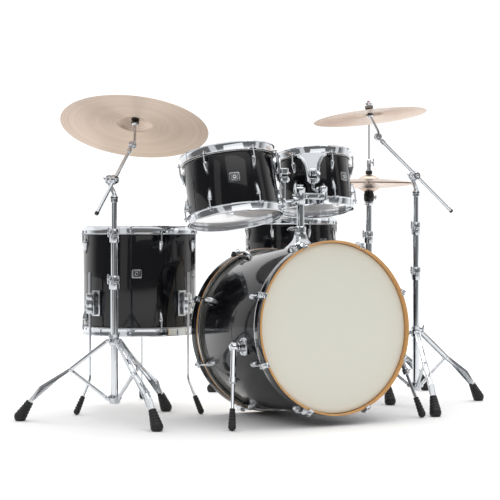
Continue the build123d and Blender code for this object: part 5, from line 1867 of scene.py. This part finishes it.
def dress_drums(kit: Kit) -> None:
    """Builds the five drums with everything that hangs on them."""
    bass = BassDrum(kit)
    bass.shell()
    bass.hoops()
    bass.heads()
    bass.metal()
    bass.spurs()
    bass.holder()
    TomPost(kit).dress()
    large = RackTom(kit, "large_tom", "large_tom", (-0.027, 0.227, 0.9735), 6 * INCH, 8 * INCH, 6, -146.3)
    small = RackTom(kit, "small_tom", "small_tom", (0.0265, 0.175, 0.984), 5 * INCH, 7 * INCH, 6, -152.35)
    for tom, tilt in ((large, "large_tom_tilt"), (small, "small_tom_tilt")):
        tom.dress(COATED_FILM, CLEAR_FILM)
        tom.bracket()
        tom.l_rod(tilt)
    floor_tom = FloorTom(kit, "floor_tom", "kit", (0, 0, 1), 8 * INCH, 14 * INCH, 8, -94.5)
    floor_tom.dress(COATED_FILM, CLEAR_FILM)
    floor_tom.legs()
    snare = Drum(
        kit, "snare_drum", "snare_drum", (0, 0, 1), 7 * INCH, 6.5 * INCH, 8, -98.0, lug_tall=40.0,
        lug_drop=30.0
    )
    snare.dress(COATED_FILM, CLEAR_FILM)
    SnareStand(kit, snare).dress()
    large.badge(-113.0, 0.0)
    small.badge(-67.0, 0.0)
    floor_tom.badge(-118.0, 26.0)
    snare.badge(-76.0, 0.0)


def dress_stands(kit: Kit) -> None:
    """Builds both boom stands and the hi-hat."""
    ride_low, crash_low = BASS_AXIS + (-667, -131, 697), BASS_AXIS + (707, -238, 712)
    ride_legs, crash_legs = (151.0, -89.0, 31.0), (-112.7, 7.4, 127.3)
    ride_at, crash_at = BASS_AXIS + (-588, -99, 0), BASS_AXIS + (552, -233, 0)
    BoomStand(kit, "ride", ride_at, ride_legs, (490.0, 648.0), ride_low, 10 * INCH).dress()
    BoomStand(kit, "crash", crash_at, crash_legs, (508.0, 672.0), crash_low, 8 * INCH).dress()
    HiHat(kit, BASS_AXIS + (599, 150, 0)).dress()


def main() -> None:
    """Builds the looks round the frame."""
    logging.basicConfig(level=logging.INFO, format="%(name)s: %(message)s")
    bpy.ops.object.select_all(action="SELECT")
    bpy.ops.object.delete()
    kit = Kit()
    dress_drums(kit)
    dress_stands(kit)
    stage()


if __name__ == "__main__":
    main()
